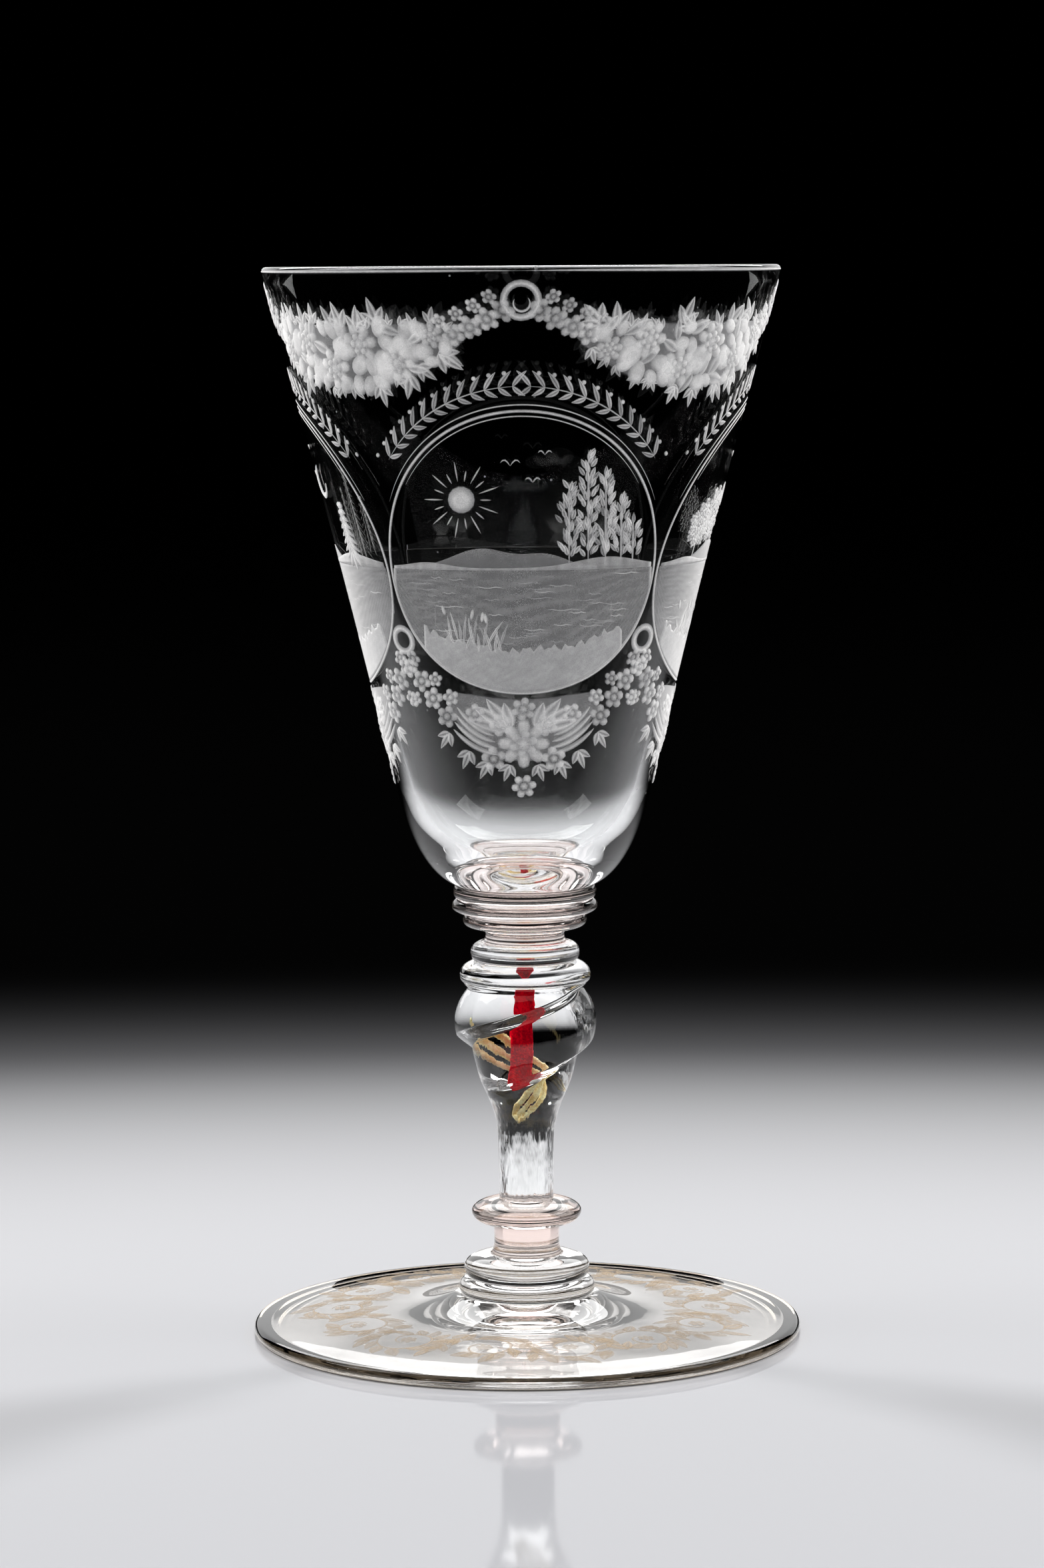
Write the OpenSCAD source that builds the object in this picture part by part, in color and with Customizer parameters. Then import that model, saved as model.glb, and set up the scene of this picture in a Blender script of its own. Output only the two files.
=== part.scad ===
// Engraved glass goblet (pokal) on an inverted baluster stem.
// Every gather of glass that the maker joined hot is a solid of its own. The pieces stack on the
// goblet's axis, +Z up, from the foot's ground ring at z = 0 to the rim. The front faces -Y.

/* [Foot] */
// Diameter of the foot
foot_d = 98; // [86:1:112]
// Thickness of the foot's rounded edge
foot_edge_t = 2.4; // [1.8:0.1:3]
// Height of the foot under the base collar
foot_h = 6.8; // [6:0.1:8.5]
// Radius at which the foot starts to rise to the collar
foot_rise_r = 27; // [22:0.5:32]
// Height of the foot's upper face at that radius
foot_rise_h = 4.2; // [3.8:0.1:4.8]
// Height of the hollow under the foot
foot_hollow_h = 2.2; // [1:0.1:2.6]
// Width of the ground ring that the foot stands on
foot_ring_w = 2; // [1.2:0.1:3]
// Radius of the ground mark under the foot's centre
pontil_r = 8; // [5:0.5:10]
// Depth of that mark
pontil_depth = 0.8; // [0.4:0.1:1.2]

/* [Base collar and knob] */
// Diameter of the collar that joins the stem to the foot
base_collar_d = 24.4; // [22:0.2:27]
// Height of that collar
base_collar_h = 2.9; // [2:0.1:4]
// Diameter of the round knob above the collar
base_knob_d = 22.4; // [20:0.2:26]
// Height of that knob
base_knob_h = 4.3; // [3:0.1:6]

/* [Lower neck and disc] */
// Waist diameter of the neck above the knob
lower_neck_d = 11.7; // [10.8:0.1:12.4]
// Height of that neck
lower_neck_h = 5.4; // [4:0.1:8]
// Diameter of the thin disc under the stem
lower_disc_d = 19.7; // [16:0.1:24]
// Height of that disc at the stem
lower_disc_h = 4.5; // [3:0.1:6]

/* [Stem] */
// Diameter of the plain stem
stem_d = 9.7; // [8.6:0.1:10.6]
// Height of the plain stem, disc to baluster
stem_h = 12.1; // [8:0.1:18]
// Diameter at the stem's top, where the baluster starts to swell
stem_top_d = 10.2; // [9.8:0.1:11.6]

/* [Twisted baluster] */
// Largest diameter of the baluster
baluster_d = 26.8; // [25:0.2:30]
// Height of the baluster, stem to shoulder ring
baluster_h = 27.2; // [26:0.1:32]
// Height of its widest part above the stem
baluster_wide_h = 21.2; // [20:0.1:23]
// Number of lobes twisted round it
lobes = 2; // [2:1:4]
// Depth of the fold between two lobes
fold_depth = 1.9; // [0.8:0.1:2.4]
// Rise of a fold in a full turn
fold_pitch = 24.4; // [18:0.1:36]
// Height above the stem at which a fold crosses the front
fold_front_h = 20.9; // [18:0.1:26]

/* [Threads in the glass] */
// Width of the ruby ribbon
ruby_w = 2.6; // [1.6:0.1:3]
// Thickness of the ruby ribbon
ruby_t = 1; // [0.6:0.1:1.4]
// Depth of the ribbon's upper end below the baluster's top
ruby_top_gap = 0.8; // [0.4:0.1:3]
// Length of the ribbon, top to curled tip
ruby_h = 17.6; // [14:0.1:18]
// Sideways throw of the curled tip
ruby_throw = 1.5; // [0.5:0.1:2]
// Diameter of each gold thread
gold_d = 0.8; // [0.5:0.05:0.9]
// Gap between two gold threads at their wide upper end
gold_gap = 0.6; // [0.4:0.05:0.8]
// Depth of the threads' upper end below the baluster's top
gold_top_gap = 8.6; // [7:0.1:10]
// Height that the threads fall in their one turn
gold_fall = 16; // [13:0.1:17]
// Radius of the coil at its upper end
gold_top_r = 6.4; // [5:0.1:6.8]
// Radius of the coil at its lower end
gold_tail_r = 1.1; // [0.9:0.1:1.4]
// Diameter of the air bead beside the ribbon's tip
bead_d = 2; // [1.2:0.1:2.2]

/* [Shoulder, neck disc and upper neck] */
// Diameter of the ring on the baluster's shoulder
shoulder_d = 23.4; // [22:0.1:26]
// Height of that ring
shoulder_h = 3.7; // [3:0.1:5]
// Diameter of the disc above the shoulder
neck_disc_d = 19.4; // [18:0.1:22]
// Height of that disc
neck_disc_h = 3.4; // [2.4:0.1:5]
// Waist diameter of the neck under the bowl's rings
upper_neck_d = 14; // [12:0.1:14.8]
// Height of that neck
upper_neck_h = 2.7; // [2:0.1:4]

/* [Rings under the bowl] */
// Diameter of the lowest ring
ring_lower_d = 22.1; // [21.2:0.1:24]
// Diameter of the middle ring
ring_middle_d = 26; // [24.4:0.1:29]
// Diameter of the ring that meets the bowl
ring_upper_d = 25.5; // [24.8:0.1:28]
// Height of each ring
ring_h = 2.55; // [2:0.05:3.5]

/* [Bowl] */
// Outer diameter of the rim
rim_d = 91.2; // [80:0.2:100]
// Height of the bowl
bowl_h = 109.4; // [95:0.2:125]
// Outer diameter where the rounded base meets the wall
bowl_base_d = 44.2; // [40:0.2:50]
// Height of the rounded base
bowl_base_h = 15.2; // [13:0.2:20]
// Thickness of the wall at the rim
rim_t = 1.7; // [1.2:0.1:2.4]
// Thickness of the wall where its inside starts to round in to the floor
wall_t = 2.8; // [1.8:0.1:3.4]
// Height at which it does
bowl_round_h = 19; // [17:0.2:24]
// Thickness of the glass at the bottom of the bowl
bowl_floor_t = 2.8; // [2.2:0.1:5]

/* [Hidden] */
$fn = 128;

// Radii of the joins, each shared by the two pieces that meet there
foot_seat_r = 12.6;
collar_seat_r = 10.2;
knob_seat_r = 6.7;
lower_disc_seat_r = 6;
stem_r = stem_d / 2;
stem_top_r = stem_top_d / 2;
shoulder_seat_r = 10.9;
neck_disc_seat_r = 8.8;
upper_neck_seat_r = 8.1;
ring_lower_seat_r = 9.2;
ring_middle_seat_r = 10.4;
ring_upper_seat_r = 11.8;
bowl_seat_r = 12.2;

// Heights of the joins, from the floor up
base_collar_z = foot_h;
base_knob_z = base_collar_z + base_collar_h;
lower_neck_z = base_knob_z + base_knob_h;
lower_disc_z = lower_neck_z + lower_neck_h;
stem_z = lower_disc_z + lower_disc_h;
baluster_z = stem_z + stem_h;
shoulder_z = baluster_z + baluster_h;
neck_disc_z = shoulder_z + shoulder_h;
upper_neck_z = neck_disc_z + neck_disc_h;
ring_lower_z = upper_neck_z + upper_neck_h;
ring_middle_z = ring_lower_z + ring_h;
ring_upper_z = ring_middle_z + ring_h;
bowl_z = ring_upper_z + ring_h;

// Fineness of the curves: steps on a bead, a profile curve and round a lobed or swept piece
bead_steps = 16;
curve_steps = 20;
lobe_columns = 64;
thread_sides = 8;
thread_rings = 44;
ribbon_sides = 12;
ribbon_rings = 30;

// Colours of the glass and of the threads in it
clear_glass = [0.93, 0.95, 0.95, 0.4];
rose_glass = [0.96, 0.85, 0.81, 0.5];
ruby_glass = [0.72, 0.02, 0.07];
gold_leaf = [0.83, 0.63, 0.26];

// Points on a cubic curve from a to d
function curve(a, b, c, d) = [for (i = [0:curve_steps]) let (t = i / curve_steps, u = 1 - t)
    u * u * u * a + 3 * u * u * t * b + 3 * u * t * t * c + t * t * t * d];

// Points on an arc about a centre
function arc(centre, r, from, to) = [for (i = [0:bead_steps]) let (a = from + (to - from) * i / bead_steps)
    centre + r * [cos(a), sin(a)]];

// Outline of a ring or neck between two seats: it swells to r, or draws in where r is less than the seats,
// at a share "at" of its height
function bead(low_r, high_r, r, h, at = 0.5) = [[0, 0], each [for (i = [0:bead_steps])
    let (a = -90 + 180 * i / bead_steps, seat = a < 0 ? low_r : high_r, reach = a < 0 ? at : 1 - at)
    [seat + (r - seat) * cos(a), h * (at + reach * sin(a))]], [0, h]];

// A piece turned from an outline, set on the axis at height z
module turned(z, outline) {
    translate([0, 0, z]) rotate_extrude() polygon(outline);
}

// A tube or lobed body skinned over rings of points, all with the same count, closed by flat ends
module skinned(rings) {
    n = len(rings[0]);
    last = len(rings) - 1;
    sides = [for (i = [0:last - 1], j = [0:n - 1]) let (k = (j + 1) % n)
        each [[i * n + j, (i + 1) * n + j, (i + 1) * n + k], [i * n + j, (i + 1) * n + k, i * n + k]]];
    low_end = [for (j = [1:n - 2]) [0, j, j + 1]];
    high_end = [for (j = [1:n - 2]) [last * n, last * n + j + 1, last * n + j]];
    polyhedron([for (ring = rings) each ring], concat(sides, low_end, high_end));
}

// Foot: a shallow dome with a rounded edge and a ground ring to stand on, hollow beneath
module foot() {
    edge_r = foot_edge_t / 2;
    rim = foot_d / 2 - edge_r;
    edge = arc([rim, edge_r], edge_r, 90, -90);
    ring_in = rim - foot_ring_w;
    upper = curve([foot_seat_r, foot_h], [foot_rise_r * 0.66, foot_h * 0.72],
                  [foot_rise_r * 0.78, foot_rise_h], [foot_rise_r, foot_rise_h]);
    hollow = curve([ring_in, 0], [ring_in * 0.86, foot_hollow_h * 0.7],
                   [ring_in * 0.62, foot_hollow_h], [pontil_r, foot_hollow_h]);
    pontil_ball_r = (pontil_r * pontil_r + pontil_depth * pontil_depth) / (2 * pontil_depth);
    color(clear_glass) difference() {
        turned(0, [[0, foot_h], each upper, each edge, each hollow, [0, foot_hollow_h]]);
        translate([0, 0, foot_hollow_h + pontil_depth - pontil_ball_r]) sphere(pontil_ball_r);
    }
}

// Collar, knob, neck and disc: the stack that carries the stem on the foot
module base_collar() {
    color(clear_glass)
        turned(base_collar_z, bead(foot_seat_r * 0.92, collar_seat_r, base_collar_d / 2, base_collar_h));
}

module base_knob() {
    color(clear_glass) turned(base_knob_z, bead(collar_seat_r, knob_seat_r, base_knob_d / 2, base_knob_h));
}

module lower_neck() {
    color(rose_glass)
        turned(lower_neck_z, bead(knob_seat_r, lower_disc_seat_r, lower_neck_d / 2, lower_neck_h));
}

module lower_disc() {
    color(rose_glass) turned(lower_disc_z, bead(lower_disc_seat_r, stem_r, lower_disc_d / 2, lower_disc_h));
}

// Stem: a plain shaft that draws out to the baluster's foot
module plain_stem() {
    draw = curve([stem_r, stem_h * 0.45], [stem_r, stem_h * 0.7], [stem_r * 1.01, stem_h * 0.85],
                 [stem_top_r, stem_h]);
    color(clear_glass) turned(stem_z, [[0, 0], [stem_r, 0], each draw, [0, stem_h]]);
}

// Outline of the baluster's lobes: it swells from the stem, then turns in to the shoulder ring
wide_r = baluster_d / 2;
swell = curve([stem_top_r, 0], [stem_top_r * 1.12, baluster_wide_h * 0.4],
              [wide_r * 0.985, baluster_wide_h * 0.66], [wide_r, baluster_wide_h]);
turn_in = curve([wide_r, baluster_wide_h], [wide_r, baluster_wide_h + (baluster_h - baluster_wide_h) * 0.4],
                [wide_r * 0.925, baluster_wide_h + (baluster_h - baluster_wide_h) * 0.83],
                [shoulder_seat_r, baluster_h]);
lobe_outline = [each swell, for (i = [2:2:curve_steps]) turn_in[i]];

// Depth of the folds at a height: none in the slim part, running out again under the shoulder ring
function ease(t) = let (c = min(1, max(0, t))) c * c * (3 - 2 * c);
function fold_at(h) = fold_depth * ease((h / baluster_h - 0.24) / 0.24) * ease((baluster_h - h) / 1.2);

// Share of that depth at an angle a from a fold: a short ledge on one side, a long slope on the other
function fold_share(a) = let (t = (a * lobes / 360) % 1) max(pow(1 - t, 2.2), ease((t - 0.76) / 0.24));

// One level of the baluster: its columns follow the twist, so that each fold runs along one column
function lobe_level(p) =
    [for (j = [0:lobe_columns - 1])
        let (a = 360 * j / lobe_columns, r = p[0] - fold_at(p[1]) * fold_share(a),
             turn = a - 90 + 360 * (p[1] - fold_front_h) / fold_pitch)
        [r * cos(turn), r * sin(turn), baluster_z + p[1]]];

// Baluster: two lobes of glass folded round the axis, closed over the ribbon, the threads and an air bead
module twisted_baluster() {
    color(clear_glass) difference() {
        skinned([for (p = lobe_outline) lobe_level(p)]);
        ribbon_solid();
        for (side = [-1:1]) thread_solid(side);
        translate(bead_place) sphere(bead_d / 2);
    }
}

// Ribbon: a flat ruby strip down the axis that turns as it falls, with its tip curled to one side
ribbon_high = shoulder_z - ruby_top_gap;
ribbon_low = ribbon_high - ruby_h;

function ribbon_level(t) =
    let (curl = pow(1 - t, 4), grip = min(1, 0.35 + t * 9, 0.35 + (1 - t) * 9), turn = 20 - 110 * t)
    [for (j = [0:ribbon_sides - 1])
        let (a = 360 * j / ribbon_sides, x = ruby_w / 2 * grip * cos(a), y = ruby_t / 2 * grip * sin(a))
        [x * cos(turn) - y * sin(turn) - ruby_throw * curl, x * sin(turn) + y * cos(turn),
         ribbon_low + t * ruby_h]];

module ribbon_solid() {
    skinned([for (i = [0:ribbon_rings]) ribbon_level(i / ribbon_rings)]);
}

module ruby_ribbon() {
    color(ruby_glass) ribbon_solid();
}

// Air bead: a bubble in front of the ribbon, just above its tip
bead_place = [bead_d * 0.55, -bead_d * 1.6, ribbon_low + bead_d];

// Gold threads: three wires of leaf side by side on a narrowing coil of one turn, left, back, right, front
function coil_turn(t) = 170 - 345 * t;

function coil(t) = let (r = gold_tail_r + (gold_top_r - gold_tail_r) * pow(max(0, 1 - t), 1.5))
    [r * cos(coil_turn(t)), r * sin(coil_turn(t)), shoulder_z - gold_top_gap - gold_fall * t];

function unit(v) = v / norm(v);

function thread_level(t, side) =
    let (step = 0.004, along = unit(coil(t + step) - coil(t - step)),
         beside = unit(cross([cos(coil_turn(t)), sin(coil_turn(t)), 0], along)), out = cross(along, beside),
         centre = coil(t) + side * (gold_d + gold_gap * (1 - 0.8 * t)) * beside,
         grip = min(1, 0.3 + t * 12, 0.3 + (1 - t) * 12))
    [for (j = [0:thread_sides - 1]) let (a = 360 * j / thread_sides)
        centre + gold_d / 2 * grip * (cos(a) * beside + sin(a) * out)];

module thread_solid(side) {
    skinned([for (i = [0:thread_rings]) thread_level(i / thread_rings, side)]);
}

module gold_thread(side) {
    color(gold_leaf) thread_solid(side);
}

// Ring, disc and neck between the baluster and the bowl's rings
module shoulder_ring() {
    color(clear_glass)
        turned(shoulder_z, bead(shoulder_seat_r, neck_disc_seat_r, shoulder_d / 2, shoulder_h, 0.3));
}

module neck_disc() {
    color(clear_glass)
        turned(neck_disc_z, bead(neck_disc_seat_r, upper_neck_seat_r, neck_disc_d / 2, neck_disc_h, 0.45));
}

module upper_neck() {
    color(rose_glass)
        turned(upper_neck_z, bead(upper_neck_seat_r, ring_lower_seat_r, upper_neck_d / 2, upper_neck_h));
}

// Three rings laid under the bowl
module bowl_ring_lower() {
    color(rose_glass)
        turned(ring_lower_z, bead(ring_lower_seat_r, ring_middle_seat_r, ring_lower_d / 2, ring_h));
}

module bowl_ring_middle() {
    color(rose_glass)
        turned(ring_middle_z, bead(ring_middle_seat_r, ring_upper_seat_r, ring_middle_d / 2, ring_h));
}

module bowl_ring_upper() {
    color(rose_glass)
        turned(ring_upper_z, bead(ring_upper_seat_r, bowl_seat_r, ring_upper_d / 2, ring_h));
}

// Bowl: a tall cone that flares a little, rounded at its base outside and in, with a fire-polished rim
module bowl() {
    base_r = bowl_base_d / 2;
    rim_r = rim_d / 2;
    wall_h = bowl_h - bowl_base_h;
    edge_r = rim_t / 2;
    edge_z = bowl_h - edge_r;
    base = curve([bowl_seat_r, 0], [base_r * 0.75, bowl_base_h * 0.1], [base_r * 0.915, bowl_base_h * 0.5],
                 [base_r, bowl_base_h]);
    wall = curve([base_r, bowl_base_h], [base_r + (rim_r - base_r) * 0.29, bowl_base_h + wall_h * 0.317],
                 [base_r + (rim_r - base_r) * 0.643, bowl_base_h + wall_h * 0.656], [rim_r, edge_z]);
    rim = arc([rim_r - edge_r, edge_z], edge_r, 0, 180);
    handle_z = bowl_base_h + wall_h * 0.317;
    in_r = base_r + (rim_r - base_r) * 0.29 * (bowl_round_h - bowl_base_h) / (handle_z - bowl_base_h) - wall_t;
    mouth_r = rim_r - rim_t;
    inner_wall = curve([mouth_r, edge_z], [in_r + (mouth_r - in_r) * 0.643, bowl_base_h + wall_h * 0.656],
                       [in_r + (mouth_r - in_r) * 0.29, handle_z], [in_r, bowl_round_h]);
    drop = (bowl_round_h - bowl_floor_t) * 0.66;
    lean = (mouth_r - in_r) * 0.29 / (handle_z - bowl_round_h);
    inner_base = curve([in_r, bowl_round_h], [in_r - lean * drop, bowl_round_h - drop], [in_r * 0.58, bowl_floor_t],
                       [0, bowl_floor_t]);
    color(clear_glass)
        turned(bowl_z, [[0, 0], each base, each wall, each rim, each inner_wall, each inner_base]);
}

foot();
base_collar();
base_knob();
lower_neck();
lower_disc();
plain_stem();
twisted_baluster();
ruby_ribbon();
gold_thread(1);  // gold_thread_upper
gold_thread(0);  // gold_thread_middle
gold_thread(-1);  // gold_thread_lower
shoulder_ring();
neck_disc();
upper_neck();
bowl_ring_lower();
bowl_ring_middle();
bowl_ring_upper();
bowl();
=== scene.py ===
"""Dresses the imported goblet: its glass, the threads in its stem, the wheel engraving and a studio."""
import logging
import math
import random
from abc import ABC, abstractmethod
from bisect import bisect_left
from dataclasses import dataclass
from enum import Enum
from typing import Any, Callable, Iterable, Sequence

import bpy
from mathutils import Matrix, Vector


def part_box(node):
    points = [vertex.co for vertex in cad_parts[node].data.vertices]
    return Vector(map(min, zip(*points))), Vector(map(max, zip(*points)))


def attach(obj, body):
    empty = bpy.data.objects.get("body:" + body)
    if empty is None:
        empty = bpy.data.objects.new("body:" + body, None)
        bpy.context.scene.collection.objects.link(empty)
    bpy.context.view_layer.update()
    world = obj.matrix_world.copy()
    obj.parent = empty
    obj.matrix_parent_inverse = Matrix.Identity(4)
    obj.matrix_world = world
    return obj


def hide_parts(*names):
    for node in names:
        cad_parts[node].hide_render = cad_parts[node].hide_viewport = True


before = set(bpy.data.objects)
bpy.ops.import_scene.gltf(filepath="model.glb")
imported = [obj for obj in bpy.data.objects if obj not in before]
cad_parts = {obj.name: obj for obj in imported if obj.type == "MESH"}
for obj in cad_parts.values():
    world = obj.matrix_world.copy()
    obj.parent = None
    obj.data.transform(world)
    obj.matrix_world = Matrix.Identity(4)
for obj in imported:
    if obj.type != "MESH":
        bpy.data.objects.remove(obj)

LOG = logging.getLogger("goblet")

# Design sizes are in millimetres; Blender and the frame are in metres
MM = 0.001
BODY = "root"
GLASS_IOR = 1.5
# Columns round a turned piece
COLUMNS = 192
# Slots of a piece: its glass, the faces fused to the next piece, and an air bead or a worn ring
GLASS_SLOT = 0
JOIN_SLOT = 1
BEAD_SLOT = 2
WORN_SLOT = 2

Outline = list[tuple[float, float]]
Colour = tuple[float, float, float]
Node = bpy.types.Node
Socket = bpy.types.NodeSocket


def cubic(a: Sequence[float], b: Sequence[float], c: Sequence[float], d: Sequence[float],
          steps: int) -> Outline:
    """Points on a cubic curve.

    Args:
        a: Start of the curve.
        b: First handle.
        c: Second handle.
        d: End of the curve.
        steps: Number of steps along it.

    Returns:
        The points from a to d.
    """
    points = []
    for i in range(steps + 1):
        t = i / steps
        u = 1 - t
        weights = (u * u * u, 3 * u * u * t, 3 * u * t * t, t * t * t)
        points.append(tuple(sum(w * p[k] for w, p in zip(weights, (a, b, c, d))) for k in (0, 1)))
    return points


def arc(centre: Sequence[float], radius: float, start: float, end: float, steps: int) -> Outline:
    """Points on an arc round a centre, between two angles in degrees."""
    angles = [math.radians(start + (end - start) * i / steps) for i in range(steps + 1)]
    return [(centre[0] + radius * math.cos(a), centre[1] + radius * math.sin(a)) for a in angles]


def turns(count: int) -> list[float]:
    """Angles of evenly spaced places round a circle."""
    return [math.tau * j / count for j in range(count)]


def ease(t: float) -> float:
    """Smooth step from 0 to 1."""
    t = min(1.0, max(0.0, t))
    return t * t * (3 - 2 * t)


def along(outline: Outline, place: float, key: int) -> tuple[float, float]:
    """Look up an outline that rises or falls steadily in one of its two coordinates.

    Args:
        outline: Points sorted by that coordinate.
        place: Value of the coordinate.
        key: 0 to look up by radius, 1 by height.

    Returns:
        The other coordinate there, and its slope.
    """
    places = [p[key] for p in outline]
    i = min(max(bisect_left(places, place), 1), len(outline) - 1)
    low, high = outline[i - 1], outline[i]
    slope = (high[1 - key] - low[1 - key]) / (high[key] - low[key])
    return low[1 - key] + slope * (place - low[key]), slope


class Sketch:
    """Shorthand for laying nodes in a material's, group's or world's tree."""

    def __init__(self, tree: bpy.types.NodeTree) -> None:
        """Work on an emptied tree."""
        self.tree = tree
        tree.nodes.clear()

    def add(self, kind: str, inputs: dict[str | int, Any] | None = None, **settings: Any) -> Node:
        """Add a node.

        Args:
            kind: Its type without the prefix ShaderNode.
            inputs: Value, or socket to link from, of each input.
            **settings: Properties of the node itself.

        Returns:
            The new node.
        """
        node = self.tree.nodes.new(kind if kind.startswith("NodeGroup") else "ShaderNode" + kind)
        for name, value in settings.items():
            setattr(node, name, value)
        for name, value in (inputs or {}).items():
            self.feed(node.inputs[name], value)
        return node

    def feed(self, socket: Socket, value: Any) -> None:
        """Link a socket to another one, or give it a value of its own.

        Args:
            socket: Input of a node.
            value: Value, or socket to link from.
        """
        if isinstance(value, Socket):
            self.tree.links.new(value, socket)
        else:
            socket.default_value = value

    def maths(self, operation: str, first: Any, second: Any = 0.0) -> Socket:
        """Result of a Math node on two values or sockets."""
        return self.add("Math", {0: first, 1: second}, operation=operation).outputs[0]

    def blend(self, factor: Any, low: Any, high: Any) -> Socket:
        """Colour between two colours, by a factor or socket."""
        return self.add("Mix", {0: factor, 6: low, 7: high}, data_type="RGBA").outputs[2]

    def noise(self, place: Socket, scale: Any, detail: float) -> Socket:
        """Noise of a scale, given as a value or a socket."""
        return self.add("TexNoise", {"Vector": place, "Scale": scale, "Detail": detail}).outputs[0]

    def weigh(self, first: Socket, second: Socket, share: float) -> Socket:
        """A share of one value and the rest of another."""
        parts = (self.maths("MULTIPLY", first, share), self.maths("MULTIPLY", second, 1 - share))
        return self.maths("ADD", *parts)

    def spread(self, value: Socket, low: float, high: float, to_low: float, to_high: float,
               curve: str = "LINEAR") -> Socket:
        """A value stretched from one range to another, by a straight or other curve."""
        inputs = {0: value, 1: low, 2: high, 3: to_low, 4: to_high}
        return self.add("MapRange", inputs, interpolation_type=curve).outputs[0]


class Effect(ABC):
    """A shader node group that several finishes share."""

    name: str
    inputs: dict[str, float] = {}
    outputs: dict[str, str] = {}

    def group(self) -> bpy.types.NodeTree:
        """The group, built the first time it is asked for."""
        if self.name in bpy.data.node_groups:
            return bpy.data.node_groups[self.name]
        tree = bpy.data.node_groups.new(self.name, "ShaderNodeTree")
        for socket, value in self.inputs.items():
            made = tree.interface.new_socket(socket, in_out="INPUT", socket_type="NodeSocketFloat")
            made.default_value = value
        for socket, kind in self.outputs.items():
            tree.interface.new_socket(socket, in_out="OUTPUT", socket_type=kind)
        sketch = Sketch(tree)
        self.draw(sketch, sketch.add("NodeGroupInput"), sketch.add("NodeGroupOutput"))
        return tree

    @abstractmethod
    def draw(self, sketch: Sketch, given: Node, result: Node) -> None:
        """Lay the group's nodes between its input and output nodes."""

    def place(self, sketch: Sketch, **values: Any) -> Node:
        """Put the group into a material with its own values."""
        named = {name.replace("_", " ").capitalize(): value for name, value in values.items()}
        return sketch.add("Group", named, node_tree=self.group())


class GlassFlow(Effect):
    """Faint cords and seeds of hand-blown glass.

    Attributes:
        cord_squeeze: Share of its size that the noise keeps across the cords' run.
        seed_scale: How close together the seeds lie.
        seed_size: Their radius, as a share of that.
        seed_roughness: Their roughness.
    """

    name = "glass flow"
    cord_squeeze = 0.22
    seed_scale = 420.0
    seed_size = 0.09
    seed_roughness = 0.55
    inputs = {"Cord scale": 60.0, "Seed share": 0.03}
    outputs = {"Height": "NodeSocketFloat", "Roughness": "NodeSocketFloat"}

    def draw(self, sketch: Sketch, given: Node, result: Node) -> None:
        """Cords are noise drawn out along the axis; seeds are scattered pinpoints.

        Args:
            sketch: The group's tree.
            given: Its input node.
            result: Its output node.
        """
        place = sketch.add("TexCoord").outputs["Object"]
        scale = (1.0, 1.0, self.cord_squeeze)
        drawn = sketch.add("Mapping", {"Vector": place, "Scale": scale}).outputs[0]
        cords = sketch.noise(drawn, given.outputs[0], 2.0)
        cells = sketch.add("TexVoronoi", {"Vector": place, "Scale": self.seed_scale})
        chance = sketch.add("SeparateColor", {0: cells.outputs["Color"]}).outputs[0]
        chosen = sketch.maths("LESS_THAN", chance, given.outputs[1])
        close = sketch.maths("LESS_THAN", cells.outputs["Distance"], self.seed_size)
        seed = sketch.maths("MULTIPLY", chosen, close)
        sketch.feed(result.inputs["Height"], cords)
        sketch.feed(result.inputs["Roughness"], sketch.maths("MULTIPLY", seed, self.seed_roughness))


class WheelGrain(Effect):
    """Matt grain that the engraver's wheel leaves, denser where it has cut deeper, and darker and thinner
    where the cut's tone holds painted relief shade.

    Attributes:
        broad_scale: Scale of the noise under the grain.
        fine_share: Share of the grain in the two.
        noise_range: Values of the noise that give the palest and the darkest shade.
        shade_range: Those two shades.
        least_cover: Share of the cover where the cut's tone is nil, at the shallowest cut and the darkest
            painted shade.
    """

    name = "wheel grain"
    broad_scale = 420.0
    fine_share = 0.55
    noise_range = (0.3, 0.7)
    shade_range = (0.72, 1.12)
    least_cover = 0.12
    inputs = {"Cut": 1.0, "Grain scale": 5200.0, "Cover": 0.8}
    outputs = {"Tone": "NodeSocketFloat", "Alpha": "NodeSocketFloat", "Height": "NodeSocketFloat"}

    def draw(self, sketch: Sketch, given: Node, result: Node) -> None:
        """Fine noise roughens the tone and thins the cover where the cut is shallow and where painted relief
        shade lowers its tone.

        Args:
            sketch: The group's tree.
            given: Its input node.
            result: Its output node.
        """
        place = sketch.add("TexCoord").outputs["Object"]
        fine = sketch.noise(place, given.outputs[1], 2.0)
        broad = sketch.noise(place, self.broad_scale, 3.0)
        mixed = sketch.weigh(fine, broad, self.fine_share)
        shade = sketch.spread(mixed, *self.noise_range, *self.shade_range)
        tone = sketch.maths("MULTIPLY", given.outputs[0], shade)
        cover = sketch.spread(tone, 0.0, 1.0, self.least_cover, 1.0)
        sketch.feed(result.inputs["Tone"], tone)
        sketch.feed(result.inputs["Alpha"], sketch.maths("MULTIPLY", cover, given.outputs[2]))
        sketch.feed(result.inputs["Height"], fine)


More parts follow.
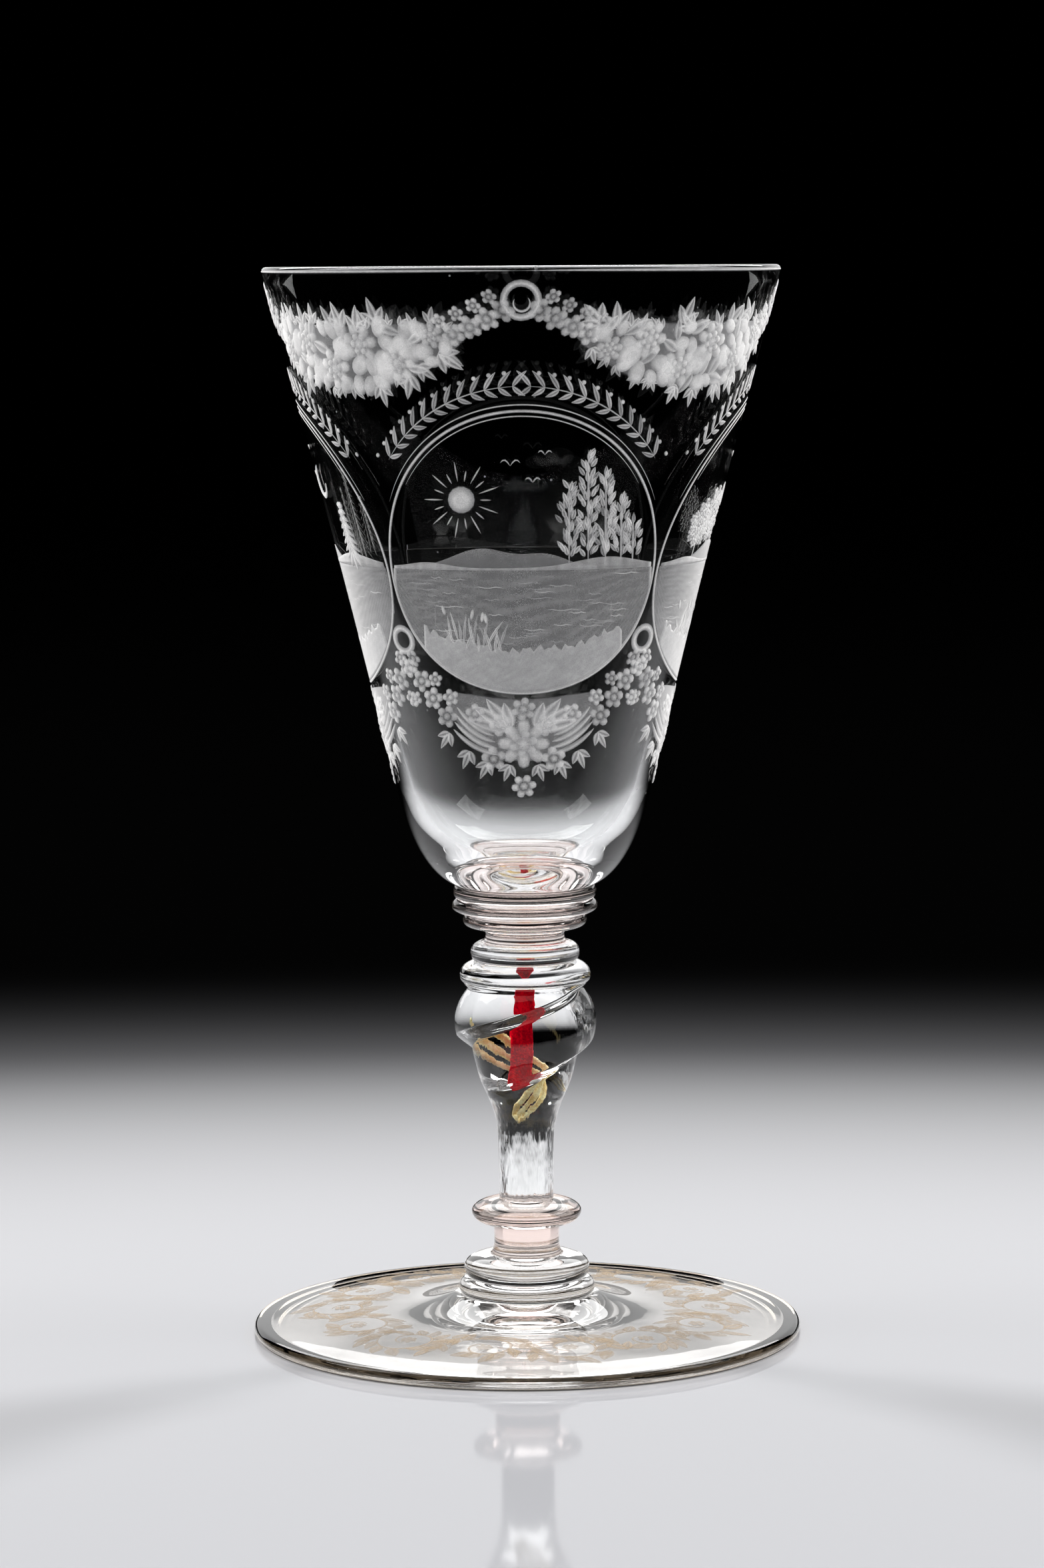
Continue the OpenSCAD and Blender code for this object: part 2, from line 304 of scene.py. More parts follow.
class Mottle(Effect):
    """Uneven depth of colour in a thread drawn out with the glass.

    Attributes:
        flake_scale: Scale of the fine flakes.
        streak_share: Share of the streaks in streaks and flakes.
        tone_range: Values of the two that are stretched from dark to light.
    """

    name = "thread mottle"
    flake_scale = 3800.0
    streak_share = 0.55
    tone_range = (0.4, 0.6)
    inputs = {"Streak scale": 900.0, "Stretch": 0.2}
    outputs = {"Tone": "NodeSocketFloat", "Height": "NodeSocketFloat"}

    def draw(self, sketch: Sketch, given: Node, result: Node) -> None:
        """Noise drawn out along the axis, with finer noise on it.

        Args:
            sketch: The group's tree.
            given: Its input node.
            result: Its output node.
        """
        place = sketch.add("TexCoord").outputs["Object"]
        stretch = sketch.add("CombineXYZ", {"X": 1.0, "Y": 1.0, "Z": given.outputs[1]}).outputs[0]
        drawn = sketch.add("VectorMath", {0: place, 1: stretch}, operation="MULTIPLY").outputs[0]
        streak = sketch.noise(drawn, given.outputs[0], 3.0)
        flake = sketch.noise(place, self.flake_scale, 2.0)
        mixed = sketch.weigh(streak, flake, self.streak_share)
        sketch.feed(result.inputs["Tone"], sketch.spread(mixed, *self.tone_range, 0.0, 1.0))
        sketch.feed(result.inputs["Height"], flake)


class Finish(ABC):
    """A finish of the goblet, made into one material."""

    name: str

    def material(self) -> bpy.types.Material:
        """The material, built the first time it is asked for."""
        if self.name in bpy.data.materials:
            return bpy.data.materials[self.name]
        made = bpy.data.materials.new(self.name)
        made.use_nodes = True
        sketch = Sketch(made.node_tree)
        output = sketch.add("OutputMaterial")
        sketch.feed(output.inputs["Surface"], self.surface(sketch))
        return made

    @abstractmethod
    def surface(self, sketch: Sketch) -> Socket:
        """Lay the finish's nodes and give the shader's socket."""


@dataclass(frozen=True)
class ClearGlass(Finish):
    """Fire-polished glass that lamps shine through.

    Attributes:
        name: Name of the finish.
        tint: Colour that the glass gives to what is seen through it.
        cord_height: Strength of the cords in it.
        cord_scale: How close together they lie.
        smooth_from: Heights in metres between which the cords die out, or None.
        shade: Share of a lamp's light that each of its faces lets past.
    """

    name: str
    tint: Colour
    cord_height: float = 0.05
    cord_scale: float = 60.0
    smooth_from: tuple[float, float] | None = None
    shade: float = 1.0

    def surface(self, sketch: Sketch) -> Socket:
        """Glass for the eye, and a clear pane for the lamps.

        Args:
            sketch: The material's tree.

        Returns:
            The shader's socket.
        """
        flow = GlassFlow().place(sketch, cord_scale=self.cord_scale)
        height = flow.outputs["Height"]
        if self.smooth_from:
            place = sketch.add("TexCoord").outputs["Object"]
            up = sketch.add("SeparateXYZ", {0: place}).outputs[2]
            height = sketch.maths("MULTIPLY", height, sketch.spread(up, *self.smooth_from, 1.0, 0.1))
        bump = sketch.add("Bump", {"Strength": self.cord_height, "Distance": 0.001, "Height": height})
        glass = sketch.add("BsdfPrincipled", {
            "Base Color": (*self.tint, 1.0), "Roughness": flow.outputs["Roughness"], "IOR": GLASS_IOR,
            "Transmission Weight": 1.0, "Normal": bump.outputs[0]})
        past = (*(share * self.shade for share in self.tint), 1.0)
        clear = sketch.add("BsdfTransparent", {"Color": past})
        lamp = sketch.add("LightPath").outputs["Is Shadow Ray"]
        return sketch.add("MixShader", {0: lamp, 1: glass.outputs[0], 2: clear.outputs[0]}).outputs[0]


@dataclass(frozen=True)
class FusedJoin(Finish):
    """The place where two gathers were joined hot: nothing is left of it to see."""

    name: str = "fused_join"

    def surface(self, sketch: Sketch) -> Socket:
        """A clear pane that bends nothing."""
        return sketch.add("BsdfTransparent", {"Color": (1.0, 1.0, 1.0, 1.0)}).outputs[0]


@dataclass(frozen=True)
class GroundGlass(Finish):
    """Glass ground matt.

    Attributes:
        name: Name of the finish.
        colour: Its colour.
    """

    name: str
    colour: Colour

    def surface(self, sketch: Sketch) -> Socket:
        """A pale matt face."""
        return sketch.add("BsdfPrincipled", {"Base Color": (*self.colour, 1.0), "Roughness": 0.7}).outputs[0]


@dataclass(frozen=True)
class Engraving(Finish):
    """Matt wheel engraving on clear glass.

    Attributes:
        name: Name of the finish.
        shallow: Colour of a light cut, and of the painted relief shade at a motif's edges.
        deep: Colour of a deep cut, and of the painted light on a motif's crest.
        cover: How much a deep cut hides what is behind it.
        through: Share of that cover when it is seen through the glass, from its back.
        slanted: Share of what is left bare that it covers when it is seen at a slant.
        sheen: Strength of the pale sheen of its grain.
        slant: Slants between which that further cover grows.
    """

    name: str
    shallow: Colour
    deep: Colour
    cover: float
    through: float = 0.12
    slanted: float = 0.9
    sheen: float = 0.3
    slant: tuple[float, float] = (0.35, 0.85)

    def surface(self, sketch: Sketch) -> Socket:
        """Pale matt grain that covers the glass as deep as the wheel has cut, darkened by the painted relief
        shade that the cut attribute carries.

        Args:
            sketch: The material's tree.

        Returns:
            The shader's socket.
        """
        # The cut attribute is the frost's depth with painted relief shade: darker at each motif's edges and
        # veins, lighter on its crest.
        cut = sketch.add("Attribute", attribute_name="cut").outputs["Fac"]
        grain = WheelGrain().place(sketch, cut=cut, cover=self.cover)
        facing = sketch.add("LayerWeight", {"Blend": 0.5}).outputs["Facing"]
        slant = sketch.spread(facing, *self.slant, 0.0, self.slanted)
        colour = sketch.blend(grain.outputs["Tone"], (*self.shallow, 1.0), (*self.deep, 1.0))
        bump = sketch.add("Bump", {"Strength": 0.25, "Distance": 0.0001, "Height": grain.outputs["Height"]})
        bare = sketch.maths("SUBTRACT", 1.0, grain.outputs["Alpha"])
        more = sketch.maths("MULTIPLY", bare, slant)
        back = sketch.add("NewGeometry").outputs["Backfacing"]
        alpha = sketch.maths("MULTIPLY", sketch.maths("ADD", grain.outputs["Alpha"], more),
                             sketch.spread(back, 0.0, 1.0, 1.0, self.through))
        return sketch.add("BsdfPrincipled", {
            "Base Color": colour, "Roughness": 0.75, "Alpha": alpha, "Normal": bump.outputs[0],
            "Sheen Weight": self.sheen, "Sheen Roughness": 0.45,
            "Sheen Tint": (1.0, 0.96, 0.9, 1.0)}).outputs[0]


@dataclass(frozen=True)
class Thread(Finish):
    """A coloured thread shut in the clear glass.

    Attributes:
        name: Name of the finish.
        dark: Colour in its streaks.
        light: Colour between them.
        metallic: 1 for metal leaf, 0 for coloured glass.
        roughness: Roughness of its surface.
        stretch: How far its streaks are drawn out.
        shine: Strength of its reflections.
    """

    name: str
    dark: Colour
    light: Colour
    metallic: float
    roughness: float
    stretch: float
    shine: float

    def surface(self, sketch: Sketch) -> Socket:
        """Streaked colour with a slightly uneven surface.

        Args:
            sketch: The material's tree.

        Returns:
            The shader's socket.
        """
        mottle = Mottle().place(sketch, stretch=self.stretch)
        colour = sketch.blend(mottle.outputs["Tone"], (*self.dark, 1.0), (*self.light, 1.0))
        bump = sketch.add("Bump", {"Strength": 0.4, "Distance": 0.0002, "Height": mottle.outputs["Height"]})
        return sketch.add("BsdfPrincipled", {
            "Base Color": colour, "Metallic": self.metallic, "Roughness": self.roughness,
            "Specular IOR Level": self.shine, "Normal": bump.outputs[0]}).outputs[0]


CLEAR_TINT: Colour = (0.98, 0.987, 0.988)
CLEAR = ClearGlass("polished_clear", CLEAR_TINT, shade=0.35)
TOOLED = ClearGlass("tooled_clear", CLEAR_TINT, 0.5, 700.0, shade=0.2)
TWISTED = ClearGlass("twisted_clear", CLEAR_TINT, 0.5, 700.0, smooth_from=(0.038, 0.043), shade=0.9)
ROSE = ClearGlass("polished_rose", (0.98, 0.81, 0.755), shade=0.2)
WARM = ClearGlass("polished_foot", (1.0, 0.988, 0.972))
WORN = GroundGlass("worn_ring", (0.88, 0.80, 0.70))
JOIN = FusedJoin()
FROST = Engraving("bowl_engraving", (0.36, 0.36, 0.37), (0.84, 0.83, 0.82), cover=0.92)
FROST_INSIDE = Engraving("bowl_engraving_inside", (0.42, 0.42, 0.43), (0.88, 0.87, 0.86),
                         cover=0.08, through=1.0, slanted=0.0)
# The foot's engraving is the same matt cut as the bowl's, coloured a dark tan as painted shade so that it
# shows darker than the pale floor.
FOOT_FROST_PAINTED_SHADE = Engraving("foot_engraving_painted_shade", (0.16, 0.115, 0.07), (0.30, 0.225, 0.145),
                       cover=0.75, slanted=0.15, sheen=0.0)
FOOT_INSIDE_PAINTED_SHADE = Engraving("foot_engraving_inside", (0.2, 0.15, 0.095), (0.32, 0.245, 0.16),
                        cover=0.2, through=1.0, slanted=0.0, sheen=0.0)
RUBY = Thread("ruby_thread", (0.40, 0.0, 0.010), (1.0, 0.002, 0.016),
              metallic=0.0, roughness=0.4, stretch=0.3, shine=0.05)
GOLD = Thread("gold_thread", (0.74, 0.51, 0.16), (1.0, 0.92, 0.52),
              metallic=0.15, roughness=0.4, stretch=0.6, shine=0.4)
# The air bead is coloured opaque white-cream: a painted reflection that stands in for the light its wall
# throws back.
BEAD_PAINTED_REFLECTION = Thread("air_bead_painted_reflection", (0.80, 0.76, 0.68), (0.98, 0.97, 0.94),
               metallic=0.0, roughness=0.3, stretch=1.0, shine=0.5)


def hang(name: str, data: bpy.types.ID) -> bpy.types.Object:
    """Make an object of a mesh, a lamp or a camera and put it into the scene."""
    made = bpy.data.objects.new(name, data)
    bpy.context.scene.collection.objects.link(made)
    return made


class Draft:
    """Corners and faces of one piece while it is being made, in millimetres."""

    def __init__(self) -> None:
        """Start with nothing drawn."""
        self.corners: list[tuple[float, float, float]] = []
        self.cuts_and_shades: list[float] = []
        self.faces: list[Sequence[int]] = []
        self.slots: list[int] = []

    def corner(self, point: Sequence[float], cut: float = 1.0) -> int:
        """Add a corner, with the tone of the wheel's cut there, its depth of frost with painted relief
        shade, and give its number.
        """
        self.corners.append(tuple(point))
        self.cuts_and_shades.append(cut)
        return len(self.corners) - 1

    def face(self, corners: Sequence[int], slot: int = GLASS_SLOT) -> None:
        """Add a face over some corners."""
        self.faces.append(corners)
        self.slots.append(slot)

    def skin(self, low: Sequence[int], high: Sequence[int], slot: int = GLASS_SLOT) -> None:
        """Lay faces between two rows of corners that run right round; a row of one corner is a point.

        Args:
            low: Corners of the lower row.
            high: Corners of the upper row.
            slot: Finish of the faces.
        """
        count = max(len(low), len(high))
        for j in range(count):
            k = (j + 1) % count
            if len(low) == 1:
                self.face((low[0], high[k], high[j]), slot)
            elif len(high) == 1:
                self.face((low[j], low[k], high[0]), slot)
            else:
                self.face((low[j], low[k], high[k], high[j]), slot)

    def piece(self, name: str, finishes: Sequence[Finish], slot: str, nodes: Iterable[str] = ()) -> None:
        """Make the object, dress it and let it ride on the goblet.

        Args:
            name: Name of the piece.
            finishes: Finish of each slot.
            slot: The record's material slot; not used.
            nodes: CAD nodes that it stands for.
        """
        mesh = bpy.data.meshes.new(name)
        mesh.from_pydata([tuple(c * MM for c in corner) for corner in self.corners], [], self.faces)
        for finish in finishes:
            mesh.materials.append(finish.material())
        mesh.polygons.foreach_set("material_index", self.slots)
        mesh.polygons.foreach_set("use_smooth", [index != JOIN_SLOT for index in self.slots])
        sharp = {key for face in mesh.polygons if face.material_index == JOIN_SLOT for key in face.edge_keys}
        mesh.edges.foreach_set("use_edge_sharp", [edge.key in sharp for edge in mesh.edges])
        # The cut attribute carries each corner's depth of frost with painted relief shade.
        mesh.attributes.new("cut", "FLOAT", "POINT").data.foreach_set("value", self.cuts_and_shades)
        mesh.update()
        made = hang(name, mesh)
        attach(made, BODY)
        for node in nodes:
            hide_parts(node)
        LOG.info("%s: %d faces", name, len(self.faces))


def lathe(draft: Draft, outline: Outline, joins: Iterable[int] = (), worn: Iterable[int] = ()) -> None:
    """Turn an outline about the axis.

    Args:
        draft: Piece to add to.
        outline: Radius and height of each point, up the outside first.
        joins: Steps of the outline that are fused to another piece.
        worn: Steps of it that are worn matt.
    """
    rings = []
    for radius, height in outline:
        if radius < 1e-6:
            rings.append([draft.corner((0.0, 0.0, height))])
            continue
        rings.append([draft.corner((radius * math.cos(a), radius * math.sin(a), height))
                      for a in turns(COLUMNS)])
    slots = {**dict.fromkeys(joins, JOIN_SLOT), **dict.fromkeys(worn, WORN_SLOT)}
    for i, (low, high) in enumerate(zip(rings, rings[1:])):
        draft.skin(low, high, slots.get(i, GLASS_SLOT))


def heights(node: str) -> tuple[float, float]:
    """Lowest and highest height of a CAD node, in millimetres."""
    low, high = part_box(node)
    return low[2] / MM, high[2] / MM


def reach(node: str) -> float:
    """Radius of a CAD node, in millimetres."""
    low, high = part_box(node)
    return max(-low[0], -low[1], high[0], high[1]) / MM


@dataclass
class Ring:
    """A ring, disc, knob or neck of the stem, fused to a piece below and above it.

    Attributes:
        node: CAD node that it stands for.
        low_r: Radius where it joins the piece below.
        high_r: Radius where it joins the piece above.
        finish: Its glass.
        slot: The record's material slot.
        widest_at: Share of its height at which it is widest, or narrowest.
        waist_r: Least radius of a neck.
        steps: Steps up its side.
    """

    node: str
    low_r: float
    high_r: float
    finish: ClearGlass
    slot: str
    widest_at: float = 0.5
    waist_r: float | None = None
    steps: int = 28

    def outline(self) -> Outline:
        """Points from the axis, out round the ring and back to the axis."""
        low, high = heights(self.node)
        turn_r = reach(self.node) if self.waist_r is None else self.waist_r
        points = [(0.0, low)]
        for i in range(self.steps + 1):
            angle = math.pi * (i / self.steps - 0.5)
            seat = self.low_r if angle < 0 else self.high_r
            span = self.widest_at if angle < 0 else 1 - self.widest_at
            share = self.widest_at + span * math.sin(angle)
            points.append((seat + (turn_r - seat) * math.cos(angle), low + (high - low) * share))
        return [*points, (0.0, high)]

    def build(self) -> None:
        """Make the ring."""
        draft = Draft()
        outline = self.outline()
        lathe(draft, outline, (0, len(outline) - 2))
        draft.piece(self.node + "_glass", (self.finish, JOIN), self.slot, (self.node,))


@dataclass
class Stem:
    """The plain shaft below the baluster.

    Attributes:
        node: CAD node that it stands for.
        radius: Its radius.
        top_r: Radius where it joins the baluster.
    """

    node: str = "plain_stem"
    radius: float = 4.85
    top_r: float = 5.1

    def build(self) -> None:
        """Make the shaft."""
        low, high = heights(self.node)
        tall = high - low
        draw = cubic((self.radius, low + tall * 0.45), (self.radius, low + tall * 0.7),
                     (self.top_r - 0.13, low + tall * 0.85), (self.top_r, high), 16)
        outline = [(0.0, low), (self.radius, low), *draw, (0.0, high)]
        draft = Draft()
        lathe(draft, outline, (0, len(outline) - 2))
        draft.piece("plain_stem_glass", (TOOLED, JOIN), "clear_glass", (self.node,))


@dataclass
class Baluster:
    """The twisted baluster: lobes folded round the axis over the threads and an air bead.

    Attributes:
        node: CAD node that it stands for.
        foot_r: Radius where it grows out of the stem.
        wide_h: Height of its widest part above the stem.
        seat_r: Radius under the shoulder ring.
        lobes: Number of lobes.
        fold_depth: Depth of the fold between two lobes.
        fold_pitch: Rise of a fold in a full turn.
        fold_front_h: Height at which a fold crosses the front.
        bead_d: Diameter of the air bead.
        columns: Columns round it.
    """

    node: str = "twisted_baluster"
    foot_r: float = 5.1
    wide_h: float = 21.2
    seat_r: float = 10.9
    lobes: int = 2
    fold_depth: float = 1.9
    fold_pitch: float = 24.4
    fold_front_h: float = 20.9
    bead_d: float = 2.0
    columns: int = 200

    def __post_init__(self) -> None:
        """Take the place and the widest radius from the frame."""
        self.low, self.high = heights(self.node)
        self.tall = self.high - self.low
        self.wide_r = reach(self.node)

    def outline(self) -> Outline:
        """Outer radius of the lobes, from the stem to the shoulder ring."""
        above = self.tall - self.wide_h
        swell = cubic((self.foot_r, 0), (self.foot_r * 1.12, self.wide_h * 0.4),
                      (self.wide_r * 0.985, self.wide_h * 0.66), (self.wide_r, self.wide_h), 56)
        turn_in = cubic((self.wide_r, self.wide_h), (self.wide_r, self.wide_h + above * 0.4),
                        (self.wide_r * 0.925, self.wide_h + above * 0.83), (self.seat_r, self.tall), 28)
        return [*swell, *turn_in[1:]]

    def fold(self, angle: float, height: float) -> float:
        """Depth of a fold: a sharp ledge on one side of it and a long slope on the other.

        Args:
            angle: Angle from the fold, in turns.
            height: Height above the stem.

        Returns:
            How far the surface lies inside the lobes' outline.
        """
        share = (angle * self.lobes) % 1.0
        slope = max((1 - share) ** 2.2, ease((share - 0.76) / 0.24))
        runs_out = ease((height / self.tall - 0.24) / 0.24) * ease((self.tall - height) / 1.2)
        return self.fold_depth * slope * runs_out

    def build(self) -> None:
        """Make the baluster, with the bead as a hollow in it."""
        draft = Draft()
        rings = []
        for radius, height in self.outline():
            start = math.tau * ((height - self.fold_front_h) / self.fold_pitch - 0.25)
            ring = []
            for j in range(self.columns):
                share = j / self.columns
                r = radius - self.fold(share, height)
                angle = start + math.tau * share
                ring.append(draft.corner((r * math.cos(angle), r * math.sin(angle), self.low + height)))
            rings.append(ring)
        draft.skin([draft.corner((0, 0, self.low))], rings[0], JOIN_SLOT)
        for low, high in zip(rings, rings[1:]):
            draft.skin(low, high)
        draft.skin(rings[-1], [draft.corner((0, 0, self.high))], JOIN_SLOT)
        self.bead(draft)
        draft.piece("twisted_baluster_glass", (TWISTED, JOIN, BEAD_PAINTED_REFLECTION), "clear_glass", (self.node,))

    def bead(self, draft: Draft, rows: int = 16, columns: int = 28) -> None:
        """Add the air bead, its faces turned to the air inside it and coloured with a painted reflection.

        Args:
            draft: Piece to add to.
            rows: Rows from pole to pole.
            columns: Columns round it.
        """
        ribbon_low = heights("ruby_ribbon")[0]
        centre = Vector((self.bead_d * 0.55, -self.bead_d * 1.6, ribbon_low + self.bead_d))
        rings = []
        for i in range(rows + 1):
            tilt = math.pi * (0.5 - i / rows)
            if i in (0, rows):
                rings.append([draft.corner(centre + Vector((0, 0, math.sin(tilt))) * self.bead_d / 2)])
                continue
            ring = []
            for turn in turns(columns):
                flat = (math.cos(tilt) * math.cos(turn), math.cos(tilt) * math.sin(turn))
                ring.append(draft.corner(centre + Vector((*flat, math.sin(tilt))) * self.bead_d / 2))
            rings.append(ring)
        for upper, lower in zip(rings, rings[1:]):
            draft.skin(upper, lower, BEAD_SLOT)


@dataclass
class Threads:
    """The ruby ribbon and the band of gold threads in the baluster.

    Attributes:
        ribbon_w: Width of the ribbon.
        ribbon_t: Its thickness.
        ribbon_from: Where its lower end faces, in degrees.
        ribbon_turn: How far it turns on its way up.
        throw: Sideways throw of its curled tip.
        gold_d: Diameter of a gold thread.
        gold_gap: Gap between two threads at their upper end.
        gold_top_gap: Depth of that end below the baluster's top.
        gold_fall: Height that the threads fall on their way.
        gold_from: Where their upper end lies, in degrees.
        gold_turn: How far their coil turns.
        top_r: Radius of their coil at the upper end.
        tail_r: Radius at the lower end.
    """

    ribbon_w: float = 2.6
    ribbon_t: float = 1.0
    ribbon_from: float = 20.0
    ribbon_turn: float = 50.0
    throw: float = 1.5
    gold_d: float = 0.8
    gold_gap: float = 0.6
    gold_top_gap: float = 8.6
    gold_fall: float = 16.0
    gold_from: float = 170.0
    gold_turn: float = 345.0
    top_r: float = 6.4
    tail_r: float = 1.1

    def __post_init__(self) -> None:
        """Take the height of the coil's upper end from the frame."""
        self.coil_top = heights("twisted_baluster")[1] - self.gold_top_gap

    def build(self) -> None:
        """Make the ribbon and the threads."""
        self.ribbon()
        for name, side in (("upper", 1), ("middle", 0), ("lower", -1)):
            self.gold("gold_thread_" + name, side)

    def ribbon(self, rings: int = 110, sides: int = 24) -> None:
        """Make the ribbon, which turns as it falls and curls at its tip.

        Args:
            rings: Steps along it.
            sides: Corners round it.
        """
        low, high = heights("ruby_ribbon")
        draft = Draft()
        rows = []
        for i in range(rings + 1):
            t = i / rings
            turn = math.radians(self.ribbon_from - self.ribbon_turn * t)
            grip = min(1.0, 0.35 + t * 9, 0.35 + (1 - t) * 9)
            shift = self.throw * (1 - t) ** 4
            row = []
            for a in turns(sides):
                x = self.ribbon_w / 2 * grip * math.cos(a)
                y = self.ribbon_t / 2 * grip * math.sin(a)
                row.append(draft.corner((x * math.cos(turn) - y * math.sin(turn) - shift,
                                         x * math.sin(turn) + y * math.cos(turn), low + t * (high - low))))
            rows.append(row)
        self.close(draft, rows)
        draft.piece("ruby_ribbon_thread", (RUBY,), "ruby_glass", ("ruby_ribbon",))

    def heading(self, t: float) -> float:
        """Angle of the gold band at a share t of its length."""
        return math.radians(self.gold_from - self.gold_turn * t)

    def coil(self, t: float) -> Vector:
        """Point on the middle of the gold band.

        Args:
            t: Share of its length.

        Returns:
            The point.
        """
        r = self.tail_r + (self.top_r - self.tail_r) * max(0.0, 1 - t) ** 2.4
        turn = self.heading(t)
        drop = self.gold_fall * (1.3 * t - 0.3 * t * t)
        return Vector((r * math.cos(turn), r * math.sin(turn), self.coil_top - drop))

    def gold(self, node: str, side: int, rings: int = 130, sides: int = 14) -> None:
        """Make one gold thread.

        Args:
            node: CAD node that it stands for.
            side: Its place in the band: 1 above, 0 in the middle, -1 below.
            rings: Steps along it.
            sides: Corners round it.
        """
        draft = Draft()
        rows = []
        for i in range(rings + 1):
            t = i / rings
            way = (self.coil(t + 0.004) - self.coil(t - 0.004)).normalized()
            turn = self.heading(t)
            beside = Vector((math.cos(turn), math.sin(turn), 0)).cross(way).normalized()
            out = way.cross(beside)
            centre = self.coil(t) + beside * side * (self.gold_d + self.gold_gap * (1 - 0.8 * t))
            radius = self.gold_d / 2 * min(1.0, 0.3 + t * 12, 0.3 + (1 - t) * 12)
            rows.append([draft.corner(centre + radius * (math.cos(a) * beside + math.sin(a) * out))
                         for a in turns(sides)])
        self.close(draft, rows)
        draft.piece(node + "_leaf", (GOLD,), "gold_leaf", (node,))

    @staticmethod
    def close(draft: Draft, rows: list[list[int]]) -> None:
        """Skin rows of corners and close both ends.

        Args:
            draft: Piece to add to.
            rows: Corners of each row.
        """
        for low, high in zip(rows, rows[1:]):
            draft.skin(low, high)
        draft.face(rows[0][::-1])
        draft.face(rows[-1])


@dataclass
class Foot:
    """The wide foot, hollow beneath, with a ground ring to stand on and a ground pontil mark.

    Attributes:
        edge_t: Thickness of its rounded edge.
        seat_r: Radius of the flat under the collar.
        join_r: Radius of the collar's own foot.
        rise_r: Radius at which it starts to rise.
        rise_h: Height there.
        hollow_h: Height of the hollow.
        ring_w: Width of the ground ring.
        worn_steps: Steps of the outline, from that ring up the edge, that are worn matt.
        pontil_r: Radius of the pontil mark.
        pontil_depth: Depth of the mark.
    """

    edge_t: float = 2.4
    seat_r: float = 12.6
    join_r: float = 11.592
    rise_r: float = 27.0
    rise_h: float = 4.2
    hollow_h: float = 2.2
    ring_w: float = 2.0
    worn_steps: int = 5
    pontil_r: float = 8.0
    pontil_depth: float = 0.8

    def __post_init__(self) -> None:
        """Take the height and the radius from the frame and draw the upper face."""
        self.high = heights("foot")[1]
        self.edge_r = self.edge_t / 2
        self.rim = reach("foot") - self.edge_r
        rise = cubic((self.seat_r, self.high), (self.rise_r * 0.66, self.high * 0.72),
                     (self.rise_r * 0.78, self.rise_h), (self.rise_r, self.rise_h), 28)
        plain = cubic((self.rise_r, self.rise_h), (self.rise_r + 7, self.rise_h),
                      (self.rim - 7, self.edge_t + 0.5), (self.rim, self.edge_t), 20)
        self.upper: Outline = [*rise, *plain[1:]]

    def build(self) -> None:
        """Make the foot."""
        edge = arc((self.rim, self.edge_r), self.edge_r, 90, -90, 16)
        ring_in = self.rim - self.ring_w
        hollow = cubic((ring_in, 0), (ring_in * 0.86, self.hollow_h * 0.7), (ring_in * 0.62, self.hollow_h),
                       (self.pontil_r, self.hollow_h), 36)
        mark = [(r, self.hollow_h + self.pontil_depth * (1 - (r / self.pontil_r) ** 2))
                for r in (self.pontil_r * k / 6 for k in range(5, -1, -1))]
        outline = [(0.0, self.high), (self.join_r, self.high), *self.upper, *edge[1:], *hollow, *mark]
        outline.reverse()
        draft = Draft()
        ring = len(mark) + len(hollow) - 1
        lathe(draft, outline, (len(outline) - 2,), range(ring, ring + self.worn_steps))
        draft.piece("foot_glass", (WARM, JOIN, WORN), "clear_glass", ("foot",))


@dataclass
class Bowl:
    """The tall flared bowl.

    Attributes:
        base_r: Outer radius where the rounded base meets the wall.
        base_h: Height of the rounded base.
        rim_t: Thickness of the wall at the rim.
        wall_t: Thickness where the inside starts to close.
        round_h: Height at which it does.
        floor_t: Thickness of the solid floor.
        seat_r: Radius on the upper ring.
    """

    base_r: float = 22.1
    base_h: float = 15.2
    rim_t: float = 1.7
    wall_t: float = 2.8
    round_h: float = 19.0
    floor_t: float = 2.8
    seat_r: float = 12.2

    def __post_init__(self) -> None:
        """Take the place and the rim from the frame and draw the outer wall."""
        self.low, self.high = heights("bowl")
        self.rim_r = reach("bowl")
        self.wall_h = self.high - self.low - self.base_h
        self.edge_z = self.high - self.rim_t / 2
        base_z = self.low + self.base_h
        base = cubic((self.seat_r, self.low), (self.base_r * 0.75, self.low + self.base_h * 0.1),
                     (self.base_r * 0.915, self.low + self.base_h * 0.5), (self.base_r, base_z), 30)
        self.outer: Outline = [*base, *self.wall(self.base_r, base_z, self.rim_r)[1:]]

    def wall(self, low_r: float, low_z: float, high_r: float) -> Outline:
        """Curve of the outer or inner wall, from the base to the rim.

        Args:
            low_r: Radius at the base.
            low_z: Height at the base.
            high_r: Radius at the rim.

        Returns:
            Points up the wall.
        """
        base_z = self.low + self.base_h
        grow = high_r - low_r
        return cubic((low_r, low_z), (low_r + grow * 0.29, base_z + self.wall_h * 0.317),
                     (low_r + grow * 0.643, base_z + self.wall_h * 0.656), (high_r, self.edge_z), 44)

    def build(self) -> None:
        """Make the bowl."""
        inner_z = self.low + self.round_h
        inner_r = along(self.outer, inner_z, 1)[0] - self.wall_t
        floor_z = self.low + self.floor_t
        rim = arc((self.rim_r - self.rim_t / 2, self.edge_z), self.rim_t / 2, 0, 180, 14)
        inner = self.wall(inner_r, inner_z, self.rim_r - self.rim_t)
        lean = (inner[1][0] - inner[0][0]) / (inner[1][1] - inner[0][1])
        drop = (inner_z - floor_z) * 0.66
        floor = cubic((inner_r, inner_z), (inner_r - lean * drop, inner_z - drop), (inner_r * 0.58, floor_z),
                      (0.0, floor_z), 48)
        draft = Draft()
        lathe(draft, [(0.0, self.low), *self.outer, *rim[1:], *inner[-2::-1], *floor[1:]], (0,))
        draft.piece("bowl_glass", (CLEAR, JOIN), "clear_glass", ("bowl",))


